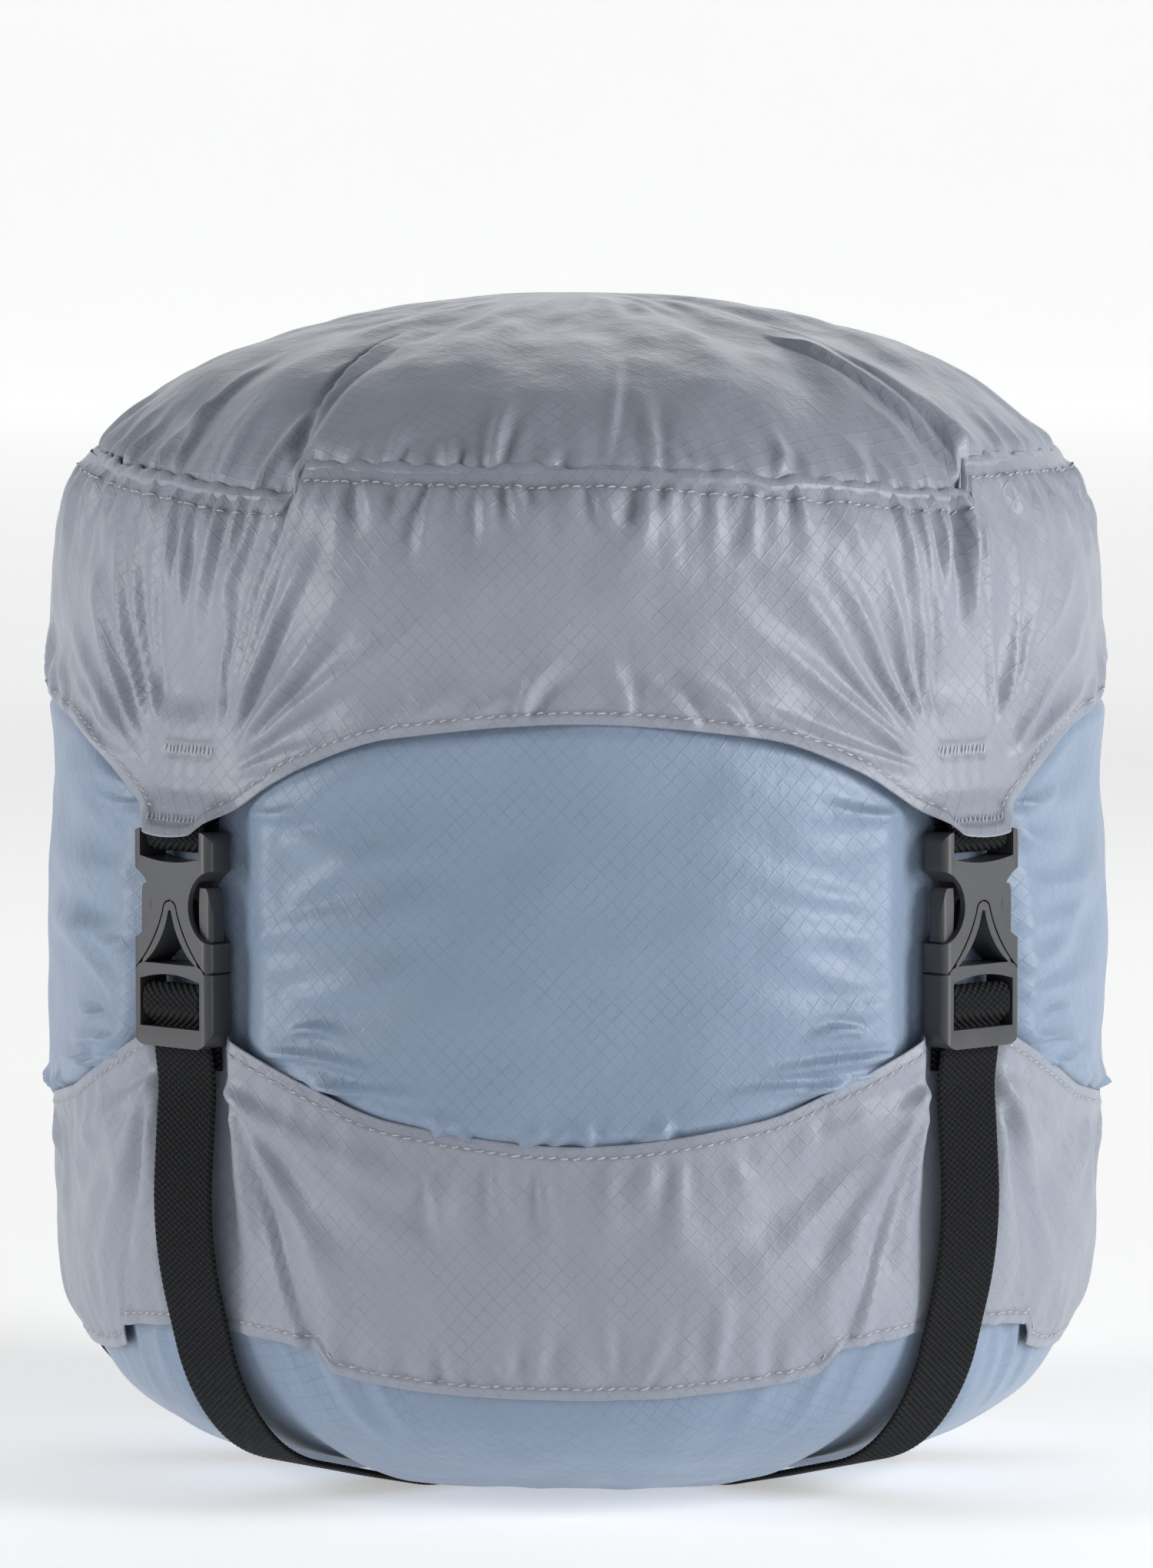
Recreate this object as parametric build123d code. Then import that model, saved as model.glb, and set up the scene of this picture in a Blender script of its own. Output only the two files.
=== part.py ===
"""Compression sack: a drawcord stuff sack with a cap and a base harness joined by four buckled straps.

Millimetres, +Z up. The origin is on the surface the sack stands on, under the middle of its base.
The front faces -Y. Every strap, buckle and webbing loop is drawn once in a spoke frame, with X
pointing outwards, Y across the webbing and Z up, and is then turned about Z to its place.
"""

from build123d import *
from math import acos, cos, pi, sin
import os

# ---- driving dimensions: the stuffed sack --------------------------------------------------
WEBBING_WIDTH = 20.0
WEBBING_THICK = 1.3
BASE_Z = 1.6                 # underside of the base panel, above the webbing it stands on
WAIST_Z, WAIST_R = 72.0, 126.0
BELLY_Z, BELLY_R = 128.0, 131.0
SHOULDER_Z, SHOULDER_R = 205.0, 127.0
BASE_ROUND = 3.0             # exponent of the rounded base's curve
SHOULDER_ROUND = 2.2         # exponent of the gathered top's curve
BASE_SEAM_Z = 46.0           # base panel joins the side wall here, under the skirt
GATHER_Z = 222.0             # side wall turns into the gathered top here
FABRIC = 1.6                 # sack wall, stuffed
STRAP_FLAT = 125.6           # the straps press the wall flat at this distance from the axis
SPOKES = {"front_left": -135.0, "front_right": -45.0, "back_right": 45.0, "back_left": 135.0}
PANEL_ANGLES = (0.0, 90.0, 180.0, 270.0)

# ---- the mouth, its drawcord and its cord lock ---------------------------------------------
NECK_R = 27.0
NECK_Z = 253.0
CORD_RING_R = 24.5
CORD_RING_Z = 262.0
CORD_R = 1.5
HEM_BORE_R = 1.9
HEM_OUTER_R = 3.4
CORD_EXIT_GAP = 9.0          # half-width of the gap where both cord ends leave the hem
CORD_SPREAD = 2.4            # half the distance between the two cord ends
CORD_BEND_R = 5.0
LOCK_X = 50.0
LOCK_OUTER_R = 7.0
LOCK_BORE_R = 5.2
LOCK_FLOOR_Z = 254.5
LOCK_TOP_Z = 268.0
PLUNGER_R = 5.0
PLUNGER_TOP_Z = 274.0
PLUNGER_TRAVEL = 4.5
SPRING_HEIGHT = 5.0

# ---- the lid and the base skirt ------------------------------------------------------------
LID_GAP = 0.45               # between the sack wall and the lid's inner face
LID_FABRIC = 1.0
LID_TOP_Z = 288.0
LID_ROUND_UP, LID_ROUND_OUT = 3.1, 1.8
LID_SEAM_Z = 248.0
LID_ARCH_END_Z = 166.5       # where the arches of two panels meet
LID_POINT_Z = 174.5          # each point is cut off here, above the webbing loop's bend
LID_ARCH_Z = 190.5
LID_FLAT = 128.8             # inner face of the lid's points, in front of the webbing
SKIRT_GAP = 0.3              # behind the straps, where the skirt is pressed flat
SKIRT_ROOM = 2.4             # between the straps, which leaves room for the handle's ends
SKIRT_FABRIC = 1.0
SKIRT_POINT_Z = 118.0
SKIRT_ARCH_Z = 92.0
SKIRT_HEM_Z, SKIRT_HEM_RISE = 33.0, 9.0
ARCH_HALF = 85.0             # half-width of each scallop, which leaves the points webbing-wide

# ---- the buckles, measured up from the plug's end bar --------------------------------------
BUCKLE_R = 131.8             # middle of a buckle's thickness, from the sack's axis
BUCKLE_Z = 112.0             # lower edge of a buckle
BUCKLE_WIDTH = 26.5
BUCKLE_THICK = 8.5
EDGE_R = 2.0
SLOT_HALF = 10.3             # half the width of every webbing slot
CAVITY_HALF = 12.5           # inside of the collar, which lets both prongs pass
CAVITY_THICK = 5.3
END_BAR_TOP = 4.6
END_BAR_BACK = 0.9           # the end bar's back face, in front of two webbing layers
LADDER_LOW, LADDER_HIGH = 10.0, 12.0
LADDER_X, LADDER_R = 1.1, 1.6
WRAP_R = 2.45                # centre line of the webbing round the ladder bar
ARCH_SIDE, ARCH_MIDDLE = 15.8, 17.3
PARTING = 18.0
GUIDE_TOP = 34.6
GUIDE_RIB = 1.6
GUIDE_GAP = 0.45
PRONG_THICK = 5.0
PIVOT_Y, PIVOT_UP = 10.6, 20.6
KNUCKLE_R = 1.2
WINDOW_Y, WINDOW_UP, WINDOW_R = 15.3, 33.7, 8.9
CAVITY_TOP = 39.6
SOCKET_SLOT_LOW = 43.9
SOCKET_TOP = 51.5
TOP_BAR_UP, TOP_BAR_R = 49.2, 1.7

# ---- the webbing ---------------------------------------------------------------------------
LOOP_THICK = 1.1
LOOP_R = 2.5                 # centre line of the loop round the socket's top bar
LOOP_TOP_Z = 176.5
LOOP_REAR_X, LOOP_FRONT_X = 126.5, 127.7
SEWN_END_Z = 98.0
SEWN_X = 128.15
TAIL_X = BUCKLE_R
TAIL_END_X = 26.0            # clear of the handle that crosses the base
HANDLE_GAP = 0.1             # between the base panel and the handle
HANDLE_END_Z = 44.0          # its ends are sewn to the base here, under the skirt


def smooth(t):
    """An S-curve from 0 to 1 that starts and ends level."""
    return t * t * (3 - 2 * t)


def sack_radius(z):
    """The stuffed sack's outer radius at a height, up to the shoulder."""
    if z < WAIST_Z:
        drop = 1 - (z - BASE_Z) / (WAIST_Z - BASE_Z)
        return WAIST_R * (1 - drop**BASE_ROUND) ** (1 / BASE_ROUND)
    if z < BELLY_Z:
        return WAIST_R + (BELLY_R - WAIST_R) * smooth((z - WAIST_Z) / (BELLY_Z - WAIST_Z))
    return BELLY_R - (BELLY_R - SHOULDER_R) * smooth((z - BELLY_Z) / (SHOULDER_Z - BELLY_Z))


def spaced(low, high, step):
    """Values from low to high, evenly spaced about a step apart."""
    count = max(2, round((high - low) / step))
    return [low + (high - low) * i / count for i in range(count)] + [high]


def side_points(low, high, out, step=14.0):
    """Points up the sack's side, a distance outside its wall."""
    return [(sack_radius(z) + out, 0, z) for z in spaced(low, high, step)]


def base_points(inset, top_z):
    """Points from the axis out round the base and up to a height, inside its outer face."""
    radius = WAIST_R - inset
    height = WAIST_Z - BASE_Z - inset
    angles = spaced(0.0, pi / 2, 0.17)
    curve = [
        (
            radius * sin(a) ** (2 / BASE_ROUND),
            0,
            WAIST_Z - height * cos(a) ** (2 / BASE_ROUND),
        )
        for a in angles
    ]
    kept = [p for p in curve if p[2] < top_z - 2]
    drop = (WAIST_Z - top_z) / height
    return kept + [(radius * (1 - drop**BASE_ROUND) ** (1 / BASE_ROUND), 0, top_z)]


def gathered_points(inset, low_z):
    """Points from a height in over the gathered top to the neck."""
    wide = SHOULDER_R - NECK_R
    tall = NECK_Z - SHOULDER_Z
    power = SHOULDER_ROUND
    start = (low_z - SHOULDER_Z) / tall
    first = (NECK_R - inset + wide * (1 - start**power) ** (1 / power), 0, low_z)
    curve = []
    for a in spaced(0.0, pi / 2, 0.2):
        x = NECK_R - inset + wide * cos(a) ** (2 / power)
        z = SHOULDER_Z + (tall - inset) * sin(a) ** (2 / power)
        curve.append((x, 0, z))
    return [first] + [p for p in curve if p[2] > low_z + 2]


def rim_points(inset):
    """Points from the shoulder up to where the gathers start, inside the wall's outer face."""
    end = gathered_points(inset, GATHER_Z)[0]
    curve = gathered_points(inset, SHOULDER_Z)[1:]
    return [(SHOULDER_R - inset, 0, SHOULDER_Z)] + [p for p in curve if p[2] < GATHER_Z - 2] + [end]


def dome_points(inset, low_z, high_z):
    """Points up over the lid from one height to another, inside its outer face."""
    radius = SHOULDER_R + LID_GAP + LID_FABRIC - inset
    tall = LID_TOP_Z - SHOULDER_Z - inset

    def at(z):
        rise = min(1.0, (z - SHOULDER_Z) / tall)
        return (radius * (1 - rise**LID_ROUND_UP) ** (1 / LID_ROUND_OUT), 0, z)

    curve = [
        (
            radius * cos(a) ** (2 / LID_ROUND_OUT),
            0,
            SHOULDER_Z + tall * sin(a) ** (2 / LID_ROUND_UP),
        )
        for a in spaced(0.0, pi / 2, 0.12)
    ]
    high = min(high_z, LID_TOP_Z - inset)
    return [at(low_z)] + [p for p in curve if low_z + 2 < p[2] < high - 0.5] + [at(high)]


def turned_shell(outer, inner):
    """A shell turned about Z between two rows of points that run the same way."""
    edges = [Spline(*outer), Line(outer[-1], inner[-1]), Spline(*inner), Line(inner[0], outer[0])]
    return revolve(make_face(edges), axis=Axis.Z)


def inside_flats(points, distance):
    """A solid turned about Z from a row of outer points, inside the four flats the straps press."""
    low, high = points[0], points[-1]
    edges = [
        Spline(*points),
        Line(high, (0, 0, high[2])),
        Line((0, 0, high[2]), (0, 0, low[2])),
        Line((0, 0, low[2]), low),
    ]
    flats = Rot(0, 0, 45) * Pos(0, 0, high[2] / 2) * Box(2 * distance, 2 * distance, 2 * high[2])
    return revolve(make_face(edges), axis=Axis.Z) & flats


def flat_shell(low, high, inner_out, outer_out, inner_flat, outer_flat):
    """A shell over the sack's side with its four strap flats, kept to an even thickness."""
    outer = inside_flats(side_points(low, high, outer_out), outer_flat)
    return outer - inside_flats(side_points(low, high, inner_out), inner_flat)


def around(shape, angles):
    """Copies of a shape turned about Z."""
    return [Rot(0, 0, angle) * shape for angle in angles]


def scallop(end_z, middle_z, far_z, half=ARCH_HALF):
    """A cutter for one panel: everything between an arched edge and a far height."""
    edges = [
        ThreePointArc((0, -half, end_z), (0, 0, middle_z), (0, half, end_z)),
        Line((0, half, end_z), (0, half, far_z)),
        Line((0, half, far_z), (0, -half, far_z)),
        Line((0, -half, far_z), (0, -half, end_z)),
    ]
    return Pos(60, 0, 0) * extrude(make_face(edges), amount=100, dir=(1, 0, 0))


def ribbon(path, thickness, width):
    """Flat webbing whose centre line is a path in the spoke frame's XZ plane."""
    outline = Wire(path.edges()).offset_2d(thickness / 2, side=Side.BOTH)
    return extrude(make_face(outline.edges()), amount=width / 2, dir=(0, 1, 0), both=True)


# ---- sack ----------------------------------------------------------------------------------
def make_sack_base():
    return turned_shell(base_points(0, BASE_SEAM_Z), base_points(FABRIC, BASE_SEAM_Z))


def make_sack_wall():
    """The side wall, pressed flat at the straps, up to where the gathers start."""
    inner_flat = STRAP_FLAT - FABRIC
    wall = flat_shell(BASE_SEAM_Z, SHOULDER_Z, -FABRIC, 0, inner_flat, STRAP_FLAT)
    outer = inside_flats(rim_points(0), STRAP_FLAT)
    return wall + (outer - inside_flats(rim_points(FABRIC), inner_flat))


def make_gathered_top():
    return turned_shell(gathered_points(0, GATHER_Z), gathered_points(FABRIC, GATHER_Z))


def make_mouth_hem():
    """The neck and the channel that the drawcord runs in, open where the cord ends leave."""
    neck_in = NECK_R - FABRIC
    neck = Pos(0, 0, (NECK_Z + CORD_RING_Z) / 2) * Cylinder(NECK_R, CORD_RING_Z - NECK_Z)
    neck -= Pos(0, 0, (NECK_Z + CORD_RING_Z) / 2) * Cylinder(neck_in, CORD_RING_Z - NECK_Z)
    channel = Pos(0, 0, CORD_RING_Z) * Torus(CORD_RING_R, HEM_OUTER_R)
    bore = Pos(0, 0, CORD_RING_Z) * Torus(CORD_RING_R, HEM_BORE_R)
    exit_gap = Pos(CORD_RING_R + 5, 0, CORD_RING_Z) * Box(16, 2 * CORD_EXIT_GAP, 2 * HEM_OUTER_R + 2)
    return (neck + channel) - bore - exit_gap


def make_drawcord():
    """The cord in its channel, both ends led out side by side and knotted past the lock."""
    bend_y = CORD_SPREAD + CORD_BEND_R
    reach = CORD_RING_R + CORD_BEND_R
    bend_x = (reach**2 - bend_y**2) ** 0.5
    joins = (bend_x * CORD_RING_R / reach, bend_y * CORD_RING_R / reach)
    knot_x = LOCK_X + LOCK_OUTER_R + 5
    middle = (bend_x - CORD_BEND_R * 0.5, CORD_SPREAD + CORD_BEND_R * (1 - 0.75**0.5))
    z = CORD_RING_Z
    path = Line((knot_x, CORD_SPREAD, z), (bend_x, CORD_SPREAD, z))
    path += ThreePointArc((bend_x, CORD_SPREAD, z), (middle[0], middle[1], z), (joins[0], joins[1], z))
    path += ThreePointArc((joins[0], joins[1], z), (-CORD_RING_R, 0, z), (joins[0], -joins[1], z))
    path += ThreePointArc((joins[0], -joins[1], z), (middle[0], -middle[1], z), (bend_x, -CORD_SPREAD, z))
    path += Line((bend_x, -CORD_SPREAD, z), (knot_x, -CORD_SPREAD, z))
    start = Plane(origin=(knot_x, CORD_SPREAD, z), z_dir=(-1, 0, 0))
    cord = sweep(start * Circle(CORD_R), path=path)
    knot = Pos(knot_x, 0, z) * Torus(2.4, 1.7) + Pos(knot_x, 0, z) * Sphere(2.6)
    return cord + knot


def make_lock_barrel():
    tall = LOCK_TOP_Z - LOCK_FLOOR_Z + 1.5
    barrel = Pos(LOCK_X, 0, LOCK_TOP_Z - tall / 2) * Cylinder(LOCK_OUTER_R, tall)
    barrel = fillet(barrel.edges().filter_by(GeomType.CIRCLE), 1.2)
    bore = Pos(LOCK_X, 0, LOCK_TOP_Z) * Cylinder(LOCK_BORE_R, 2 * (LOCK_TOP_Z - LOCK_FLOOR_Z))
    window = Pos(LOCK_X, 0, CORD_RING_Z) * Box(
        3 * LOCK_OUTER_R, 2 * (CORD_SPREAD + CORD_R) + 0.4, 2 * CORD_R + 0.4
    )
    return barrel - bore - window


def make_lock_plunger():
    foot = LOCK_FLOOR_Z + SPRING_HEIGHT
    tall = PLUNGER_TOP_Z - foot
    plunger = Pos(LOCK_X, 0, foot + tall / 2) * Cylinder(PLUNGER_R, tall)
    plunger = fillet(plunger.edges().filter_by(GeomType.CIRCLE).sort_by(Axis.Z)[-1], 1.5)
    low = CORD_RING_Z - CORD_R - 0.1
    high = CORD_RING_Z + CORD_R + 0.2 + PLUNGER_TRAVEL
    window = Pos(LOCK_X, 0, (low + high) / 2) * Box(
        3 * LOCK_OUTER_R, 2 * (CORD_SPREAD + CORD_R) + 0.4, high - low
    )
    return plunger - window


def make_lock_spring():
    wire_r, coil_r = 0.3, 3.6
    height = SPRING_HEIGHT - 2 * wire_r - 0.1
    path = Helix(pitch=height / 4, height=height, radius=coil_r)
    section = Plane(origin=path @ 0, z_dir=path % 0) * Circle(wire_r)
    spring = sweep(section, path=path, is_frenet=True)
    return Pos(LOCK_X, 0, LOCK_FLOOR_Z + wire_r + 0.05) * spring


# ---- harness fabric ------------------------------------------------------------------------
def make_base_skirt():
    low, high = SKIRT_HEM_Z - 1, SKIRT_POINT_Z
    inner_flat = STRAP_FLAT + SKIRT_GAP
    outer_flat = inner_flat + SKIRT_FABRIC
    skirt = flat_shell(low, high, SKIRT_ROOM, SKIRT_ROOM + SKIRT_FABRIC, inner_flat, outer_flat)
    upper = scallop(SKIRT_POINT_Z, SKIRT_ARCH_Z, SKIRT_POINT_Z + 30)
    lower = scallop(SKIRT_HEM_Z + SKIRT_HEM_RISE, SKIRT_HEM_Z, 10.0, half=ARCH_HALF + 2)
    for cutter in around(upper, PANEL_ANGLES) + around(lower, PANEL_ANGLES):
        skirt -= cutter
    corner = Pos(120, 0, (SKIRT_HEM_Z + SKIRT_HEM_RISE) / 2) * Box(60, 30, SKIRT_HEM_Z + SKIRT_HEM_RISE)
    for cutter in around(corner, SPOKES.values()):
        skirt -= cutter
    return skirt


def make_lid_side():
    gap, out = LID_GAP, LID_GAP + LID_FABRIC
    lower = flat_shell(LID_POINT_Z, SHOULDER_Z, gap, out, LID_FLAT, LID_FLAT + LID_FABRIC)
    top = LID_SEAM_Z - 0.2
    upper = turned_shell(dome_points(0, SHOULDER_Z, top), dome_points(LID_FABRIC, SHOULDER_Z, top))
    arch = scallop(LID_ARCH_END_Z, LID_ARCH_Z, LID_ARCH_END_Z - 30)
    for cutter in around(arch, PANEL_ANGLES):
        lower -= cutter
    return lower + upper


def make_lid_top():
    low = LID_SEAM_Z + 0.2
    return turned_shell(
        dome_points(0, low, LID_TOP_Z), dome_points(LID_FABRIC, low, LID_TOP_Z)
    )


def make_lid_seam():
    """The rolled seam ridge between the lid's side and its top."""
    x = dome_points(0, LID_SEAM_Z, LID_TOP_Z)[0][0] + 1.25
    return Pos(0, 0, LID_SEAM_Z) * Torus(x, 0.8)


def make_bartacks(x, heights, width, thickness):
    """Dense rows of stitching, one above the other, on every point of the harness."""
    rows = []
    for height in heights:
        row = Pos(x + thickness / 2, 0, height) * Box(thickness, width, 2.4)
        rows += around(row, SPOKES.values())
    return Compound(children=rows)


# ---- webbing -------------------------------------------------------------------------------
def make_strap():
    """Sewn to the skirt, up behind the end bar, over the ladder bar and down as a long tail."""
    rear = BUCKLE_R + LADDER_X - WRAP_R
    front = BUCKLE_R + LADDER_X + WRAP_R
    turn_z = BUCKLE_Z + LADDER_HIGH
    rest_z = WEBBING_THICK / 2
    load = FilletPolyline(
        (SEWN_X, 0, SEWN_END_Z), (SEWN_X, 0, 108), (rear, 0, 116), (rear, 0, turn_z), radius=6
    )
    wrap = ThreePointArc((rear, 0, turn_z), (rear + WRAP_R, 0, turn_z + WRAP_R), (front, 0, turn_z))
    dive = FilletPolyline(
        (front, 0, turn_z),
        (front, 0, BUCKLE_Z + LADDER_LOW - 1.8),
        (TAIL_X, 0, BUCKLE_Z + END_BAR_TOP + 0.6),
        (TAIL_X, 0, 104),
        radius=1.2,
    )
    tail = FilletPolyline(
        (TAIL_X, 0, 104),
        (TAIL_X, 0, 60),
        (121.5, 0, 19),
        (85.0, 0, rest_z),
        (TAIL_END_X, 0, rest_z),
        radius=38,
    )
    return ribbon(load + wrap + dive + tail, WEBBING_THICK, WEBBING_WIDTH)


def handle_points(out):
    """Points a distance outside the base, from one end of the handle to its middle."""
    tall = WAIST_Z - BASE_Z
    drop = (WAIST_Z - HANDLE_END_Z) / tall
    curve = []
    for a in spaced(acos(drop ** (BASE_ROUND / 2)), 0.0, -0.12):
        radius = WAIST_R * sin(a) ** (2 / BASE_ROUND)
        below = tall * cos(a) ** (2 / BASE_ROUND)
        across, down = radius**2 / WAIST_R**3, below**2 / tall**3
        length = (across**2 + down**2) ** 0.5
        curve.append((radius + out * across / length, 0, WAIST_Z - below - out * down / length))
    return curve


def make_grab_handle():
    """Webbing across the base from side to side, with both ends sewn under the skirt."""
    rows = []
    for out in (HANDLE_GAP + WEBBING_THICK, HANDLE_GAP):
        half = handle_points(out)
        rows.append(half + [(-x, 0, z) for x, _, z in reversed(half[:-1])])
    outer, inner = rows
    edges = [Spline(*outer), Line(outer[-1], inner[-1]), Spline(*inner), Line(inner[0], outer[0])]
    return extrude(make_face(edges), amount=WEBBING_WIDTH / 2, dir=(0, 1, 0), both=True)


def make_socket_loop():
    """Both ends sewn behind a lid point, round the socket's top bar."""
    bar_z = BUCKLE_Z + TOP_BAR_UP
    rear, front = BUCKLE_R - LOOP_R, BUCKLE_R + LOOP_R
    behind = FilletPolyline(
        (LOOP_REAR_X, 0, LOOP_TOP_Z), (LOOP_REAR_X, 0, 173), (rear, 0, 166), (rear, 0, bar_z), radius=2
    )
    under = ThreePointArc((rear, 0, bar_z), (BUCKLE_R, 0, bar_z - LOOP_R), (front, 0, bar_z))
    before = FilletPolyline(
        (front, 0, bar_z), (front, 0, 164), (LOOP_FRONT_X, 0, 173), (LOOP_FRONT_X, 0, LOOP_TOP_Z), radius=2
    )
    return ribbon(behind + under + before, LOOP_THICK, WEBBING_WIDTH - 0.6)


# ---- side-release buckles, in the spoke frame about their own middle ------------------------
def plate(edges, thickness):
    """A flat piece of even thickness from an outline in the YZ plane."""
    return extrude(make_face(edges), amount=thickness / 2, dir=(1, 0, 0), both=True)


def blank(low, high, low_corner, high_corner):
    """A bar as wide and thick as the buckle, with rounded long edges and rounded corners."""
    bar = Pos(0, 0, (low + high) / 2) * Box(BUCKLE_THICK, BUCKLE_WIDTH, high - low)
    bar = fillet(bar.edges().filter_by(Axis.Z), EDGE_R)
    face = Plane.YZ * Pos(0, (low + high) / 2) * Rectangle(BUCKLE_WIDTH, high - low)
    face = fillet(face.vertices().sort_by(Axis.Z)[:2], low_corner)
    face = fillet(face.vertices().sort_by(Axis.Z)[-2:], high_corner)
    return bar & extrude(face, amount=BUCKLE_THICK, dir=(1, 0, 0), both=True)


def guide_edges(grow, foot):
    """The outline of the guide: a round apex and two flanks that flare out as they go down."""
    tip = 2.1 + grow
    top = GUIDE_TOP + grow
    start = (0, tip, top - tip)
    middle = (0, 5.5 + grow, 25.3 + grow * 0.4)
    end = (0, 11.6 + grow, PARTING + 0.4)
    return [
        ThreePointArc((0, -start[1], start[2]), (0, 0, top), start),
        ThreePointArc(start, middle, end),
        Line(end, (0, end[1], foot)),
        Line((0, end[1], foot), (0, -end[1], foot)),
        Line((0, -end[1], foot), (0, -end[1], end[2])),
        ThreePointArc((0, -end[1], end[2]), (0, -middle[1], middle[2]), (0, -start[1], start[2])),
    ]


def make_plug():
    frame = blank(0, PARTING - 0.1, 4.5, 0.4)
    opening = [
        Line((0, -SLOT_HALF, END_BAR_TOP), (0, SLOT_HALF, END_BAR_TOP)),
        Line((0, SLOT_HALF, END_BAR_TOP), (0, SLOT_HALF, ARCH_SIDE)),
        ThreePointArc((0, SLOT_HALF, ARCH_SIDE), (0, 0, ARCH_MIDDLE), (0, -SLOT_HALF, ARCH_SIDE)),
        Line((0, -SLOT_HALF, ARCH_SIDE), (0, -SLOT_HALF, END_BAR_TOP)),
    ]
    frame -= plate(opening, 2 * BUCKLE_THICK)
    passage = BUCKLE_THICK / 2 + END_BAR_BACK
    frame -= Pos(END_BAR_BACK - passage / 2, 0, 1) * Box(passage, 2 * SLOT_HALF, 2 * END_BAR_TOP)
    ladder = Pos(LADDER_X, 0, LADDER_LOW) * Rot(90, 0, 0) * Cylinder(LADDER_R, 2 * SLOT_HALF + 1)
    ladder += Pos(LADDER_X, 0, LADDER_HIGH) * Rot(90, 0, 0) * Cylinder(LADDER_R, 2 * SLOT_HALF + 1)
    web = LADDER_HIGH - LADDER_LOW
    ladder += Pos(LADDER_X, 0, LADDER_LOW + web / 2) * Box(2 * LADDER_R, 2 * SLOT_HALF + 1, web)
    guide = plate(guide_edges(0, PARTING - 0.5), BUCKLE_THICK)
    shoulder_top = PIVOT_UP + 0.2
    shoulders = Pos(0, 0, (PARTING + shoulder_top) / 2 - 0.3) * Box(
        PRONG_THICK, 2 * (CAVITY_HALF - 0.3), shoulder_top - PARTING + 0.6
    )
    plug = frame + ladder + guide + shoulders
    rib = GUIDE_RIB
    inner = [
        ThreePointArc((0, -0.6, GUIDE_TOP - 2.6), (0, 0, GUIDE_TOP - 2.0), (0, 0.6, GUIDE_TOP - 2.6)),
        ThreePointArc((0, 0.6, GUIDE_TOP - 2.6), (0, 5.5 - rib, 24.6), (0, 8.9, PARTING + 1.7)),
        Line((0, 8.9, PARTING + 1.7), (0, -8.9, PARTING + 1.7)),
        ThreePointArc((0, -8.9, PARTING + 1.7), (0, -5.5 + rib, 24.6), (0, -0.6, GUIDE_TOP - 2.6)),
    ]
    plug -= plate(inner, 2 * BUCKLE_THICK)
    for side in (-1, 1):
        seat = Pos(0, side * PIVOT_Y, PIVOT_UP) * Rot(0, 90, 0) * Cylinder(KNUCKLE_R + 0.15, BUCKLE_THICK)
        plug -= seat
    return plug


def make_prong(side):
    """One springy side arm with its thumb pad, rounded where it turns in its seat."""
    outer, inner = PIVOT_Y + KNUCKLE_R, PIVOT_Y - KNUCKLE_R
    points = {
        "stem_out": (0, outer, 24.8),
        "catch": (0, 12.3, 25.6),
        "pad_side": (0, 12.35, 31.5),
        "pad_top": (0, 11.3, 37.4),
        "tip_out": (0, 10.9, 38.2),
        "tip_in": (0, 8.7, 38.2),
        "pad_in": (0, 8.5, 31.0),
        "stem_in": (0, inner, 23.5),
    }
    edges = [
        ThreePointArc((0, inner, PIVOT_UP), (0, PIVOT_Y, PIVOT_UP - KNUCKLE_R), (0, outer, PIVOT_UP)),
        Line((0, outer, PIVOT_UP), points["stem_out"]),
        Line(points["stem_out"], points["catch"]),
        ThreePointArc(points["catch"], points["pad_side"], points["pad_top"]),
        Line(points["pad_top"], points["tip_out"]),
        Line(points["tip_out"], points["tip_in"]),
        ThreePointArc(points["tip_in"], points["pad_in"], points["stem_in"]),
        Line(points["stem_in"], (0, inner, PIVOT_UP)),
    ]
    rounded = Pos(0, 0, 29) * Box(PRONG_THICK, 2 * points["pad_side"][1], 24)
    prong = plate(edges, PRONG_THICK) & fillet(rounded.edges().filter_by(Axis.Z), 1.3)
    return prong if side > 0 else mirror(prong, about=Plane.XZ)


def make_socket():
    socket = blank(PARTING + 0.1, SOCKET_TOP, 0.8, 3.0)
    cavity_tall = CAVITY_TOP - PARTING + 2
    socket -= Pos(0, 0, CAVITY_TOP - cavity_tall / 2) * Box(CAVITY_THICK, 2 * CAVITY_HALF, cavity_tall)
    for side in (-1, 1):
        socket -= Pos(0, side * WINDOW_Y, WINDOW_UP) * Rot(0, 90, 0) * Cylinder(WINDOW_R, 2 * BUCKLE_THICK)
    socket -= plate(guide_edges(GUIDE_GAP, PARTING - 2), 2 * BUCKLE_THICK)
    low = SOCKET_SLOT_LOW
    slot = [
        ThreePointArc((0, -SLOT_HALF, low + 1.2), (0, 0, low), (0, SLOT_HALF, low + 1.2)),
        Line((0, SLOT_HALF, low + 1.2), (0, SLOT_HALF, SOCKET_TOP + 1)),
        Line((0, SLOT_HALF, SOCKET_TOP + 1), (0, -SLOT_HALF, SOCKET_TOP + 1)),
        Line((0, -SLOT_HALF, SOCKET_TOP + 1), (0, -SLOT_HALF, low + 1.2)),
    ]
    socket -= plate(slot, 2 * BUCKLE_THICK)
    return socket + Pos(0, 0, TOP_BAR_UP) * Rot(90, 0, 0) * Cylinder(TOP_BAR_R, 2 * SLOT_HALF + 1)


def on_buckle(shape):
    """A buckle piece from its own middle to its place in the spoke frame."""
    return Pos(BUCKLE_R, 0, BUCKLE_Z) * shape


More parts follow.
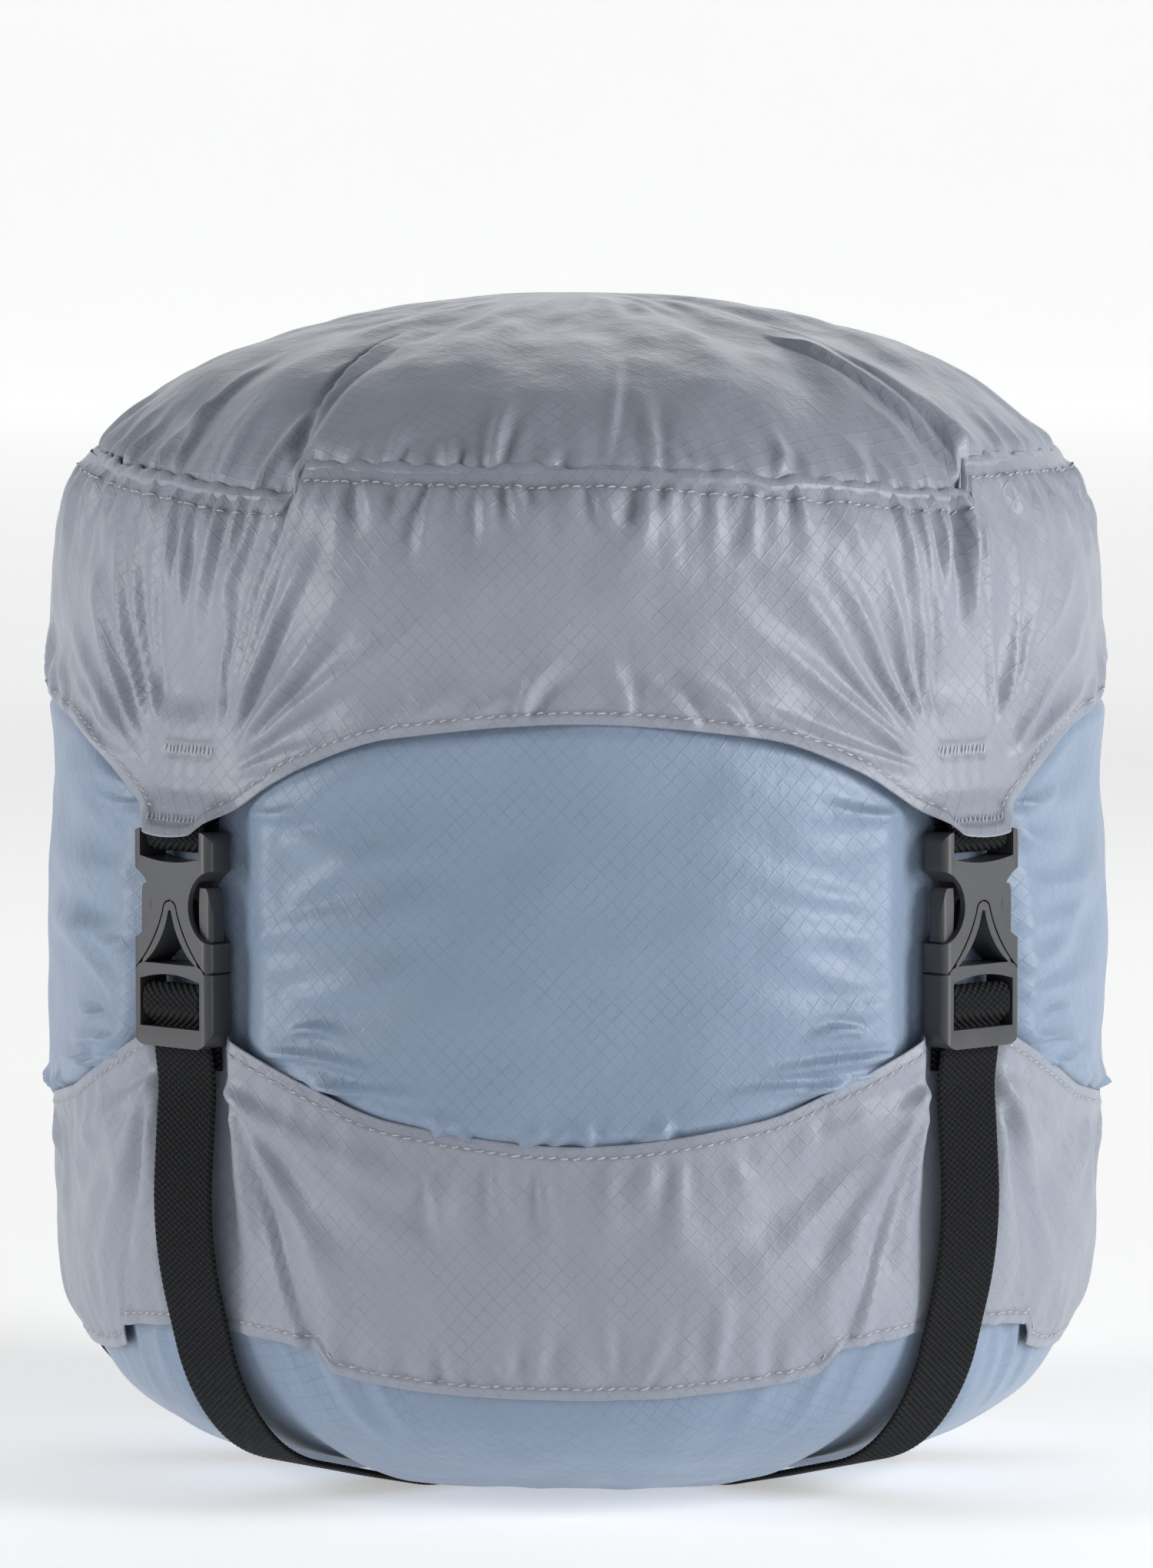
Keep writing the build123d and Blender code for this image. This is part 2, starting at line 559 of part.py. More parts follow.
# ---- the whole sack ------------------------------------------------------------------------
def make_nodes():
    nodes = {
        "sack_base": make_sack_base(),
        "sack_wall": make_sack_wall(),
        "gathered_top": make_gathered_top(),
        "mouth_hem": make_mouth_hem(),
        "drawcord": make_drawcord(),
        "cord_lock_barrel": make_lock_barrel(),
        "cord_lock_plunger": make_lock_plunger(),
        "cord_lock_spring": make_lock_spring(),
        "base_skirt": make_base_skirt(),
        "grab_handle": make_grab_handle(),
        "lid_side": make_lid_side(),
        "lid_top": make_lid_top(),
        "lid_seam": make_lid_seam(),
        "lid_bartacks": make_bartacks(LID_FLAT + LID_FABRIC, (178.0, 187.0), 14.0, 0.5),
        "skirt_bartacks": make_bartacks(STRAP_FLAT + SKIRT_GAP + SKIRT_FABRIC, (101.0, 109.0), 24.0, 0.4),
    }
    spoke_pieces = {
        "strap": make_strap(),
        "socket_loop": make_socket_loop(),
        "plug": on_buckle(make_plug()),
        "prong_left": on_buckle(make_prong(-1)),
        "prong_right": on_buckle(make_prong(1)),
        "socket": on_buckle(make_socket()),
    }
    for place, angle in SPOKES.items():
        for name, shape in spoke_pieces.items():
            nodes[f"{name}_{place}"] = Rot(0, 0, angle) * shape
    return nodes


os.makedirs("parts", exist_ok=True)
for node, shape in make_nodes().items():
    export_step(shape, f"parts/{node}.step")
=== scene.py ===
"""Looks of a compression sack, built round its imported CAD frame.

The frame is in metres, +Z up, with the front towards -Y. Shapes are worked out here in millimetres and
turned into metres when a mesh is made. The four straps lie on the diagonals between X and Y, and each
of the four panels between them is arched at its edges. Heights of folds are measured outwards from the
smooth stuffed shape.
"""

import math

import bpy
import numpy as np
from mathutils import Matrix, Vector


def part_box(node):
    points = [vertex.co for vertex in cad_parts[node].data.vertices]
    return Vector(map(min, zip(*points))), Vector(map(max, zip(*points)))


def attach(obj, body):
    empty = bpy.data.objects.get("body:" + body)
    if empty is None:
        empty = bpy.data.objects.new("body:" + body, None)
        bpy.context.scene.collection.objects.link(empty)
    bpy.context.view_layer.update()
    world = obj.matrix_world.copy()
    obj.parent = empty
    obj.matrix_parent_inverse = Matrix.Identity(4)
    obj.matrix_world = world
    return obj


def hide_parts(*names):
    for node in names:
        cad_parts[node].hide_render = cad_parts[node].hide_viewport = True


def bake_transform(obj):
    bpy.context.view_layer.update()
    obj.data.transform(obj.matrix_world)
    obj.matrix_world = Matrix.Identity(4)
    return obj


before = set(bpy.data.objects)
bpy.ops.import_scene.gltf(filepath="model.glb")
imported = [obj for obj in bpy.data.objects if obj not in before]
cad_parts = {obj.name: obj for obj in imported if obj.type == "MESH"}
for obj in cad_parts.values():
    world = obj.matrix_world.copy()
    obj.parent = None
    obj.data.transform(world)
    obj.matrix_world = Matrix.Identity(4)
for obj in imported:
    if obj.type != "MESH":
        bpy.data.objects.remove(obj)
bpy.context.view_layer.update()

MM = 0.001
SPOKES = {"front_left": -135.0, "front_right": -45.0, "back_right": 45.0, "back_left": 135.0}


def box_mm(node):
    """A CAD node's lowest and highest corners, in millimetres."""
    return [np.array(corner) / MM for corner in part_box(node)]


# ---- driving dimensions, in millimetres ----------------------------------------------------
SACK_R = box_mm("sack_wall")[1][0]                 # the belly's radius
GATHER_Z = box_mm("sack_wall")[1][2]               # the side panel turns into the gathered top
BASE_LOW_Z = box_mm("sack_base")[0][2]
BASE_SEAM_Z = box_mm("sack_base")[1][2]
LID_TOP_Z = box_mm("lid_top")[1][2]
TAIL_Z = box_mm("strap_front_right")[0][2] + 0.65  # middle of a strap's tail under the base
LID_SEAM_Z = 248.0
WAIST_Z, WAIST_R = 72.0, 126.0
BELLY_Z = 128.0
SHOULDER_Z, SHOULDER_R = 205.0, 127.0
LID_OUT = 1.45                                     # the lid's outer face from the sack's wall
SKIRT_OUT = 1.3
NECK_Z, NECK_R = 253.0, 27.0
CORD_RING_Z, CORD_RING_R, CORD_R = 262.0, 24.5, 1.5
LOCK_X, LOCK_R = 50.0, 7.0
BUCKLE_R = 131.8                                   # middle of a buckle, from the axis
WEB_WIDTH, WEB_THICK = 20.0, 1.3
LOOP_THICK = 1.1
HANDLE_OUT = 0.75                                  # middle of the handle, from the base's outer face
COLUMNS = 640                                      # grid columns round the sack
LID_BARTACKS = (182.2, 165.6)                      # heights of their rows of stitches
SKIRT_BARTACKS = (103.5, 114.5)
BARTACK_ENDS = (-11.9, -10.7, 10.7, 11.9)          # what shows of the skirt's, either side of a strap
SEAM_STITCHES = 4.3                                # from the lid's seam down to its stitches
PANEL = math.pi / 2                                # angle of one panel, from strap to strap
ROUND_MM = 2 * math.pi * SACK_R                    # the unrolled width of the sack
HALF_PANEL = ROUND_MM / 8

# Edge heights of one panel, from its middle (0) to a strap (1).
LID_EDGE = (
    (0, 190.8), (0.43, 187.0), (0.67, 178.8), (0.84, 168.8), (0.905, 164.6), (0.93, 162.0), (1, 161.4),
)
SKIRT_EDGE = ((0, 92.0), (0.43, 97.1), (0.645, 105.0), (0.8, 111.7), (0.91, 116.6), (1, 118.0))
SKIRT_HEM = ((0, 31.5), (0.35, 32.8), (0.612, 36.2), (0.655, 41.6), (0.8, 43.2), (1, 44.0))

# The lid's seam drops from the middle of a panel to the tuck right of the next strap, then steps back up.
SEAM_DOWN = ((0, 1.4), (0.23, 0.7), (0.52, -1.4), (0.67, -2.5), (0.83, -4.6), (1, -5.4))
SEAM_BACK = ((0, 2.5), (0.4, 2.1), (1, 1.4))
TUCK_FEET = (27.0, 13.0, 22.0, 18.0)                # where that tuck starts, right of each strap in turn


# ---- small maths ---------------------------------------------------------------------------
def smooth(t):
    """An S-curve from 0 to 1, level at both ends."""
    t = np.clip(t, 0, 1)
    return t * t * (3 - 2 * t)


def bell(x, width):
    """A smooth bump, 1 at its middle."""
    return np.exp(-((x / width) ** 2))


def through(stations, x):
    """A smooth curve through stations (x, value) that never overshoots them."""
    xs = np.array([s[0] for s in stations], float)
    ys = np.array([s[1] for s in stations], float)
    slope = np.diff(ys) / np.diff(xs)
    tangent = np.zeros(len(xs))
    inner = slope[:-1] * slope[1:] > 0
    tangent[1:-1][inner] = 2 / (1 / slope[:-1][inner] + 1 / slope[1:][inner])
    x = np.clip(x, xs[0], xs[-1])
    i = np.clip(np.searchsorted(xs, x, side="right") - 1, 0, len(xs) - 2)
    h = xs[i + 1] - xs[i]
    t = (x - xs[i]) / h
    return (
        ys[i] * (1 + 2 * t) * (1 - t) ** 2
        + tangent[i] * h * t * (1 - t) ** 2
        + ys[i + 1] * t * t * (3 - 2 * t)
        + tangent[i + 1] * h * t * t * (t - 1)
    )


def panel_place(theta):
    """Place within the panel, 0 at its middle and 1 at either strap."""
    turned = (theta + PANEL / 2) % PANEL - PANEL / 2
    return np.abs(turned) / (PANEL / 2)


def strap_offset(theta):
    """Distance round the sack from the nearest strap's middle, signed, in millimetres."""
    return (theta % PANEL - PANEL / 2) * SACK_R


def edge_height(stations, theta):
    return through(stations, panel_place(theta))


def edge_lean(stations, theta):
    """Cosine of an edge's slope, which turns a height above it into a distance from it."""
    step = 0.01
    rise = edge_height(stations, theta + step) - edge_height(stations, theta - step)
    return 1 / np.sqrt(1 + (rise / (2 * step * SACK_R)) ** 2)


def tuck_foot(theta):
    """How far right of its strap the lid's tuck starts, for the strap nearest an angle."""
    quarter = np.floor(((theta + math.pi) % (2 * math.pi)) / PANEL).astype(int) % 4
    return np.array(TUCK_FEET)[quarter]


def seam_dip(theta):
    """How far the lid's seam is above its level height."""
    offset, foot = strap_offset(theta), tuck_foot(theta)
    down = through(SEAM_DOWN, np.clip((offset + HALF_PANEL) / (foot + HALF_PANEL), 0, 1))
    back = through(SEAM_BACK, np.clip((offset - foot) / (HALF_PANEL - foot), 0, 1))
    stepped = smooth((offset - foot) / 3.4 + 0.5)
    return down * (1 - stepped) + back * stepped


def sack_radius(z):
    """The stuffed sack's radius at a height."""
    z = np.asarray(z, float)
    drop = np.clip(1 - (z - BASE_LOW_Z) / (WAIST_Z - BASE_LOW_Z), 0, 1)
    low = WAIST_R * (1 - drop**3) ** (1 / 3)
    belly = WAIST_R + (SACK_R - WAIST_R) * smooth((z - WAIST_Z) / (BELLY_Z - WAIST_Z))
    high = SACK_R - (SACK_R - SHOULDER_R) * smooth((z - BELLY_Z) / (SHOULDER_Z - BELLY_Z))
    rise = np.clip((z - SHOULDER_Z) / (NECK_Z - SHOULDER_Z), 0, 1)
    top = NECK_R + (SHOULDER_R - NECK_R) * (1 - rise**2.2) ** (1 / 2.2)
    return np.where(z < WAIST_Z, low, np.where(z < BELLY_Z, belly, np.where(z < SHOULDER_Z, high, top)))


def lid_radius(z):
    """The lid's radius at a height, from its points up to its top."""
    rise = np.clip((z - SHOULDER_Z) / (LID_TOP_Z - SHOULDER_Z), 0, 1)
    dome = (SHOULDER_R + LID_OUT) * (1 - rise**3.1) ** (1 / 1.8)
    return np.where(z < SHOULDER_Z, sack_radius(np.minimum(z, SHOULDER_Z)) + LID_OUT, dome)


class Ripple:
    """A smooth random swell over the unrolled fabric that joins up with itself round the sack."""

    def __init__(self, seed, scale, stretch=1.0, count=14):
        rng = np.random.default_rng(seed)
        angle = rng.uniform(0, 2 * math.pi, count)
        size = scale * rng.uniform(0.7, 1.6, count)
        self.round = np.round(np.cos(angle) * ROUND_MM / size)
        self.up = np.sin(angle) / size / stretch
        self.phase = rng.uniform(0, 2 * math.pi, count)
        self.scale = 1 / math.sqrt(count)

    def __call__(self, theta, v):
        total = 0.0
        for n, k, p in zip(self.round, self.up, self.phase):
            total = total + np.sin(n * theta + 2 * math.pi * k * v + p)
        return total * self.scale


def along_across(theta, v, start, end):
    """Share of the way from start to end, and the distance to its side, each place (angle, height)."""
    du = ((theta - start[0] + math.pi) % (2 * math.pi) - math.pi) * SACK_R
    run_u = ((end[0] - start[0] + math.pi) % (2 * math.pi) - math.pi) * SACK_R
    dv, run_v = v - start[1], end[1] - start[1]
    length = math.hypot(run_u, run_v)
    return (du * run_u + dv * run_v) / length**2, (du * run_v - dv * run_u) / length


def crease(theta, v, start, end, width, height, bow=0.0, flare=1.0):
    """A fold from start to end: a rounded ridge with a shallow valley beside it.

    It is narrow where it starts, widens by its flare, bows to one side and dies away at both ends.
    """
    t, across = along_across(theta, v, start, end)
    share = np.clip(t, 0, 1)
    across = across - bow * 4 * share * (1 - share)
    w = width * (0.5 + flare * share)
    body = bell(across, w) - 0.4 * bell(across - 1.5 * w, 1.1 * w)
    fade = np.sin(math.pi * share**0.65) ** 0.9
    return np.where((t > 0) & (t < 1), height * body * fade, 0.0)


def tuck(theta, v, start, end, height, reach, side):
    """Fabric folded over itself from start to end: it rises to the fold, then drops sharply beside it."""
    t, across = along_across(theta, v, start, end)
    across = across * side
    over = np.exp(-np.maximum(across, 0) / reach) * smooth((across + 1.1) / 1.5)
    under = -0.35 * bell(across + 2.4, 1.9)
    return height * (over + under) * smooth(t / 0.1) * smooth((1 - t) / 0.25 + 0.05)


def spread(folds, theta, v):
    """The height of a list of folds, each worked out only near where it lies."""
    total = np.zeros(np.broadcast(theta, v).shape)
    for make, *rest in folds:
        total += make(theta, v, *rest)
    return total


# ---- folds ---------------------------------------------------------------------------------
# The lid's tuck beside each strap runs from this height down to (distance from the strap, height).
LID_TUCK_HIGH, LID_TUCK_LOW = 246.0, (9.0, 184.0)
# The skirt has one each side of a strap, between two such places.
SKIRT_TUCK = ((11.5, 104.0), (35.4, 33.0))


def inside_tuck(line, theta, z):
    """1 between a strap's two tucks, where the cloth lies lower, and 0 outside them."""
    (near, at_near), (far, at_far) = line
    edge = near + (far - near) * (z - at_near) / (at_far - at_near)
    return smooth((edge - np.abs(strap_offset(theta))) / 1.9 + 0.5)


def left_of_tuck(theta, z):
    """1 just left of the lid's tucks, where the cloth lies lower, fading out towards the panel's middle."""
    low, at_low = LID_TUCK_LOW
    line = low + (tuck_foot(theta) - low) * (z - at_low) / (LID_TUCK_HIGH - at_low)
    past = strap_offset(theta) - line
    return smooth(0.5 - past / 1.9) * smooth((past + 78) / 46)


def at_strap(angle, offset, z):
    """A place beside a strap, as (angle, height)."""
    return angle + offset / SACK_R, z


def lid_folds():
    """Fans of folds that run from the ends of each upper bartack, and the tuck that ends above it."""
    rng = np.random.default_rng(41)
    folds = []
    for angle, foot in zip(map(math.radians, SPOKES.values()), TUCK_FEET):
        high, low = at_strap(angle, foot, LID_TUCK_HIGH), at_strap(angle, *LID_TUCK_LOW)
        folds.append((tuck, high, low, 3.0, 13.0, 1))
        for side in (-1, 1):
            for offset, z, width, height in (
                (15, 224, 1.3, 1.9), (26, 236, 1.6, 2.6), (38, 232, 1.9, 2.7), (50, 226, 2.3, 2.6),
                (64, 214, 2.4, 2.1), (76, 203, 2.2, 1.6), (60, 194, 1.8, 1.3),
            ):
                end = at_strap(angle, side * (offset + rng.uniform(-4, 4)), z + rng.uniform(-5, 5))
                start = at_strap(angle, side * (8.5 + 0.05 * offset), 181 - 0.05 * offset)
                height, bow = height * rng.uniform(0.7, 1.2), side * rng.uniform(-1, 3)
                folds.append((crease, start, end, width, height, bow))
        for offset in (-15, -9, -3, 4, 10, 16):
            start = at_strap(angle, offset + rng.uniform(-1.5, 1.5), 244 + rng.uniform(-1, 1))
            end = at_strap(angle, 0.6 * offset + rng.uniform(-2, 2), rng.uniform(198, 218))
            width, height, bow = rng.uniform(1.7, 2.6), rng.uniform(1.4, 2.6), rng.uniform(-1, 1)
            folds.append((crease, start, end, width, height, bow))
        for offset in np.arange(-97, 98, 9.7):
            if abs(offset) < 24:
                continue
            start = at_strap(angle, offset + rng.uniform(-4, 4), 246.5)
            end = at_strap(angle, offset + rng.uniform(-9, 9), rng.uniform(222, 238))
            folds.append((crease, start, end, rng.uniform(1.8, 3.2), rng.uniform(0.5, 1.9)))
        for side in (-1, 1):
            for offset, z, run, rise in ((58, 187, 22, 12), (76, 190, 16, 9), (90, 192, 10, 14)):
                start = at_strap(angle, side * (offset + rng.uniform(-3, 3)), z)
                end = at_strap(angle, side * (offset + run), z + rise + rng.uniform(-3, 3))
                folds.append((crease, start, end, rng.uniform(2.2, 3.2), rng.uniform(1.2, 2.1), side * -2))
    return folds


def dome_folds():
    """Folds that run up the dome from its seam, in clusters, some of them long."""
    rng = np.random.default_rng(77)
    folds = []
    for angle in np.linspace(0, 2 * math.pi, 58, endpoint=False):
        angle += rng.uniform(-0.04, 0.04)
        length = rng.choice([12, 18, 26, 40, 60], p=[0.3, 0.25, 0.2, 0.15, 0.1]) * rng.uniform(0.8, 1.2)
        lean = rng.normal(0, 0.05)
        width, height = rng.uniform(1.7, 3.2), rng.uniform(0.7, 1.9)
        folds.append((crease, (angle, -0.5), (angle + lean, length), width, height))
    for angle in map(math.radians, SPOKES.values()):
        foot = angle + tuck_foot(angle) / SACK_R
        folds.append((tuck, (foot, -2), (foot - 0.12, 66), 2.2, 15.0, 1))
    return folds


def skirt_folds():
    """Folds that fan from the lower bartack at each strap down to the steps in the hem."""
    rng = np.random.default_rng(19)
    folds = []
    for angle in map(math.radians, SPOKES.values()):
        for side in (-1, 1):
            start, end = (at_strap(angle, side * offset, z) for offset, z in SKIRT_TUCK)
            folds.append((tuck, start, end, 2.0, 11.0, side))
            for offset, z, width, height in (
                (50, 42, 4.0, 2.4), (66, 58, 4.2, 2.0), (22, 46, 2.8, 1.4), (38, 82, 2.2, 1.4),
                (78, 74, 3.6, 1.6),
            ):
                end = at_strap(angle, side * (offset + rng.uniform(-3, 3)), z + rng.uniform(-4, 4))
                folds.append((crease, start, end, width, height, side * rng.uniform(-2, 2)))
        for offset in np.arange(-94, 95, 9.4):
            if abs(offset) < 16:
                continue
            foot = at_strap(angle, offset + rng.uniform(-3, 3), 34 + rng.uniform(0, 3))
            head = at_strap(angle, offset + rng.uniform(-6, 6), rng.uniform(44, 60))
            folds.append((crease, foot, head, rng.uniform(1.9, 3.4), rng.uniform(0.3, 0.9)))
            if abs(offset) > 62:
                head = at_strap(angle, offset + rng.uniform(-3, 3), 88.5)
                foot = at_strap(angle, offset + rng.uniform(-9, 9), rng.uniform(62, 76))
                folds.append((crease, head, foot, rng.uniform(2.0, 3.6), rng.uniform(0.7, 1.5)))
    return folds


def wall_folds():
    """Short tight wrinkles where the harness squeezes the sack, and long soft ones across it."""
    rng = np.random.default_rng(5)
    folds = []
    for angle in map(math.radians, SPOKES.values()):
        for side in (-1, 1):
            for offset, z, length, rise in (
                (24, 112, 34, -4), (22, 107.5, 28, -6), (33, 104, 36, -1), (30, 117, 18, -1),
            ):
                start = at_strap(angle, side * (offset + rng.uniform(-2, 3)), z)
                end = at_strap(angle, side * (offset + length), z + rise + rng.uniform(-1, 1))
                width, height = rng.uniform(1.2, 1.7), rng.uniform(2.0, 2.8)
                bow = side * -rng.uniform(0.5, 2)
                folds.append((crease, start, end, width, height, bow, 0.6))
            start = at_strap(angle, side * 19, 168)
            folds.append((crease, start, at_strap(angle, side * 42, 171), 2.0, 1.6, side * 1.5, 0.6))
            for z, length in ((124, 70), (131, 58), (139, 84), (150, 78), (160, 56), (168, 72)):
                start = at_strap(angle, side * rng.uniform(20, 32), z + rng.uniform(-4, 4))
                end = at_strap(angle, side * length, z + rng.uniform(-5, 17))
                width, height, bow = rng.uniform(3.4, 5.4), rng.uniform(0.9, 1.9), rng.uniform(-4, 4)
                folds.append((crease, start, end, width, height, bow))
        middle = angle + PANEL / 2
        for offset in (-33, -24, -14, -6, 5, 13, 22, 31):
            start = at_strap(middle, offset + rng.uniform(-2, 2), 90.5 + 0.0022 * offset**2)
            across = offset * 1.1 + rng.uniform(4, 12) * rng.choice([-1, 1])
            end = at_strap(middle, across, 96.5 + rng.uniform(0, 3))
            folds.append((crease, start, end, rng.uniform(1.6, 2.3), rng.uniform(1.0, 1.8), 0.8, 0.8))
    return folds


def base_folds():
    """Thin slanting wrinkles in the rounded base, beside each strap. Heights are along the base's curve."""
    rng = np.random.default_rng(29)
    folds = []
    for angle in map(math.radians, SPOKES.values()):
        for side in (-1, 1):
            for offset, rise, drop in ((17, 150, 30), (30, 146, 34), (44, 142, 26)):
                start = (angle + side * offset / SACK_R, rise)
                end = (angle + side * (offset + 15 + rng.uniform(-3, 3)) / SACK_R, rise - drop)
                folds.append((crease, start, end, rng.uniform(1.6, 2.6), rng.uniform(0.6, 1.1)))
    return folds


# ---- surfaces ------------------------------------------------------------------------------
class Profile:
    """A turned outline, from its first point to its last, by the distance along it."""

    def __init__(self, r, z):
        self.r, self.z = np.asarray(r, float), np.asarray(z, float)
        self.s = np.concatenate([[0], np.cumsum(np.hypot(np.diff(self.r), np.diff(self.z)))])
        self.length = self.s[-1]

    def at(self, s):
        return np.interp(s, self.s, self.r), np.interp(s, self.s, self.z)


def turned(r, z, theta):
    return np.stack([r * np.cos(theta), r * np.sin(theta), z + 0 * theta], -1)


def raised(place, height, theta, v):
    """Points of a surface raised along its own normal. place(theta, v) is smooth and v runs upwards."""
    theta, v = np.broadcast_arrays(theta, v)
    step = 0.3
    p = place(theta, v)
    across = place(theta + step / SACK_R, v) - place(theta - step / SACK_R, v)
    up = place(theta, v + step) - place(theta, v - step)
    n = np.cross(across, up)
    n = n / np.maximum(np.linalg.norm(n, axis=-1, keepdims=True), 1e-9)
    return p + n * height(theta, v)[..., None]


WALL_SOFT, WALL_FINE = Ripple(3, 64), Ripple(8, 21)
LID_SOFT, LID_FINE = Ripple(13, 50, 1.5), Ripple(14, 17)
SKIRT_SOFT, SKIRT_FINE = Ripple(23, 46, 1.6), Ripple(24, 17)
DOME_SOFT, DOME_FINE = Ripple(33, 70, 1.5), Ripple(34, 22)
PUCKER_PHASE, PUCKER_SIZE = Ripple(51, 46), Ripple(52, 60)


def puckers(theta, distance, pitch, height, depth):
    """Small uneven gathers beside a sewn edge, which die away within a depth."""
    size = np.clip(0.6 + 0.5 * PUCKER_SIZE(theta, 0.0), 0, 1.3)
    wave = np.sin(theta * round(ROUND_MM / pitch) + 2.2 * PUCKER_PHASE(theta, distance * 0.4))
    return height * size * wave * np.exp(-np.maximum(distance, 0) / depth) * smooth(distance / 2.0)


def hem(distance, width=3.3, rise=0.5):
    """The height of a folded hem beside an edge, sunk in a narrow line where it is stitched."""
    fold = rise * smooth((width - distance) / 0.8 + 0.5)
    return fold - 0.32 * bell(distance - width + 0.55, 0.42)


def wall_height(theta, z):
    """How far the sack's wall stands off its stuffed shape: wrinkles, bulges and where it is pressed in."""
    offset = np.abs(strap_offset(theta))
    above = (z - edge_height(SKIRT_EDGE, theta)) * edge_lean(SKIRT_EDGE, theta)
    below = (edge_height(LID_EDGE, theta) - z) * edge_lean(LID_EDGE, theta)
    h = 0.85 * WALL_SOFT(theta, z) + 0.2 * WALL_FINE(theta, z) + spread(WALL_FOLDS, theta, z)
    h = h + 2.3 * smooth((above + 0.5) / 3.5) * np.exp(-np.maximum(above - 3, 0) / 11)
    h = h + 1.5 * smooth((below + 0.5) / 4.0) * np.exp(-np.maximum(below - 4, 0) / 12)
    shown = smooth((above + 4.2) / 3) * smooth((below + 4.2) / 3)
    h = h * shown - 2.2 * (1 - shown)
    behind_buckle = smooth((26 - offset) / 11) * smooth((z - 96) / 12) * smooth((178 - z) / 14)
    limit = 127.0 - sack_radius(z)
    return np.where(behind_buckle > 0, h * (1 - behind_buckle) + behind_buckle * np.minimum(h, limit), h)


def wall_place(theta, z):
    return turned(sack_radius(z), z, theta)


def base_outline():
    r = WAIST_R * (1 - (1 - np.linspace(0, 1, 260)) ** 2) * 0.98293
    z = BASE_LOW_Z + (WAIST_Z - BASE_LOW_Z) * (1 - (1 - (r / WAIST_R) ** 3) ** (1 / 3))
    return Profile(r, z)


BASE = base_outline()


def beside_webbing(theta, r):
    """Distance across the base from the middle of the nearest strap, or of the handle from side to side."""
    return np.minimum(np.abs(strap_offset(theta)) * r / SACK_R, np.abs(r * np.sin(theta)) + 0 * r)


def base_place(theta, v):
    """The base, which sags between the webbing under it until it rests on the floor."""
    r, z = BASE.at(v)
    sag = 3.5 * smooth((beside_webbing(theta, r) - 10) / 10) * smooth((41 - z) / 16)
    lowest = 0.4
    fall = np.logaddexp(0, (z - sag - lowest) * 1.4) / 1.4
    return turned(r, lowest + fall, theta)


def base_height(theta, v):
    r, z = BASE.at(v)
    fade = smooth(r / 60)
    h = fade * (0.4 * WALL_SOFT(theta, z + 31) + 0.14 * WALL_FINE(theta, v)) + spread(BASE_FOLDS, theta, v)
    covered = smooth((z - edge_height(SKIRT_HEM, theta) - 2.5) / 3 + 0.5)
    by_strap = smooth((17 - beside_webbing(theta, r)) / 6)
    rests = smooth((r - 45) / 30)
    return h * rests * (1 - by_strap) * (1 - covered) - 1.6 * covered


def lid_place(theta, z):
    """The lid's side, flared at each point over the webbing loop that comes out behind it."""
    offset = np.abs(strap_offset(theta))
    over_loop = np.clip((173.0 - z) / 9.0, 0, 1.4) ** 1.15
    flare = 5.0 * over_loop * smooth((18.5 - offset) / 8.5)
    return turned(lid_radius(z) + flare, z, theta)


def lid_edge_distance(theta, z):
    return (z - edge_height(LID_EDGE, theta)) * edge_lean(LID_EDGE, theta)


def lid_height(theta, z):
    offset = strap_offset(theta)
    edge = lid_edge_distance(theta, z)
    seam = LID_SEAM_Z + seam_dip(theta)
    soft = 1.1 * LID_SOFT(theta, z) + 0.26 * LID_FINE(theta, z)
    free = smooth(edge / 14) * smooth((seam - z) / 14)
    calm = 1 - smooth((22 - np.abs(offset)) / 8) * smooth((196 - z) / 10)
    low = left_of_tuck(theta, z) * smooth((z - 184) / 16)
    h = (soft * (0.35 + 0.65 * free) + spread(LID_FOLDS, theta, z) - 3.0 * low) * calm
    h = h + hem(edge) + puckers(theta, seam - z - 3.0, 7.5, 0.75, 9.0)
    h = h + puckers(theta, edge - 2.0, 10.5, 0.22, 7.0) * calm
    pleats = 0.22 * np.cos(2 * math.pi * offset / 4.6) * smooth((8.5 - np.abs(offset)) / 2)
    h = h + pleats * bell(z - 176, 6.5)
    tacked = smooth((9.5 - np.abs(offset)) / 1.2)
    h = h - 0.55 * tacked * (bell(z - 182.2, 1.7) + 0.7 * bell(z - 166.2, 1.6))
    return h + 0.55


def dome_outline():
    """The lid's outline from its seam up to its top."""
    turn = np.linspace(0, 1, 400)
    r_seam = float(lid_radius(LID_SEAM_Z))
    r = r_seam * (1 - turn**1.6)
    rise = (1 - (r / (SHOULDER_R + LID_OUT)) ** 1.8) ** (1 / 3.1)
    return Profile(r, SHOULDER_Z + (LID_TOP_Z - SHOULDER_Z) * rise)


DOME = dome_outline()


def dome_place(theta, v):
    """The lid's top by the distance up it from its seam, which dips at the tucks."""
    dip = seam_dip(theta) * np.exp(-np.maximum(v, 0) / 22)
    r, z = DOME.at(np.maximum(v + 0 * theta, 0))
    low = np.minimum(v, 0)
    z = z + low + dip
    r = r + np.where(dip < 0, -0.55, -0.35) * dip
    return turned(r, z, theta)


def dome_height(theta, v):
    r, _ = DOME.at(np.maximum(v, 0))
    fade = smooth(r / 55)
    h = 1.2 * DOME_SOFT(theta, v) + 0.3 * DOME_FINE(theta, v)
    h = h * (0.3 + 0.7 * smooth(v / 16)) + spread(DOME_FOLDS, theta, v)
    h = h + puckers(theta, v + 1.0, 8.0, 0.8, 8.0)
    h = h - 2.2 * left_of_tuck(theta, LID_TUCK_HIGH) * np.exp(-np.maximum(v, 0) / 14)
    return h * fade - 0.9 * bell(v, 2.2)


def skirt_place(theta, z):
    return turned(sack_radius(z) + SKIRT_OUT, z, theta)


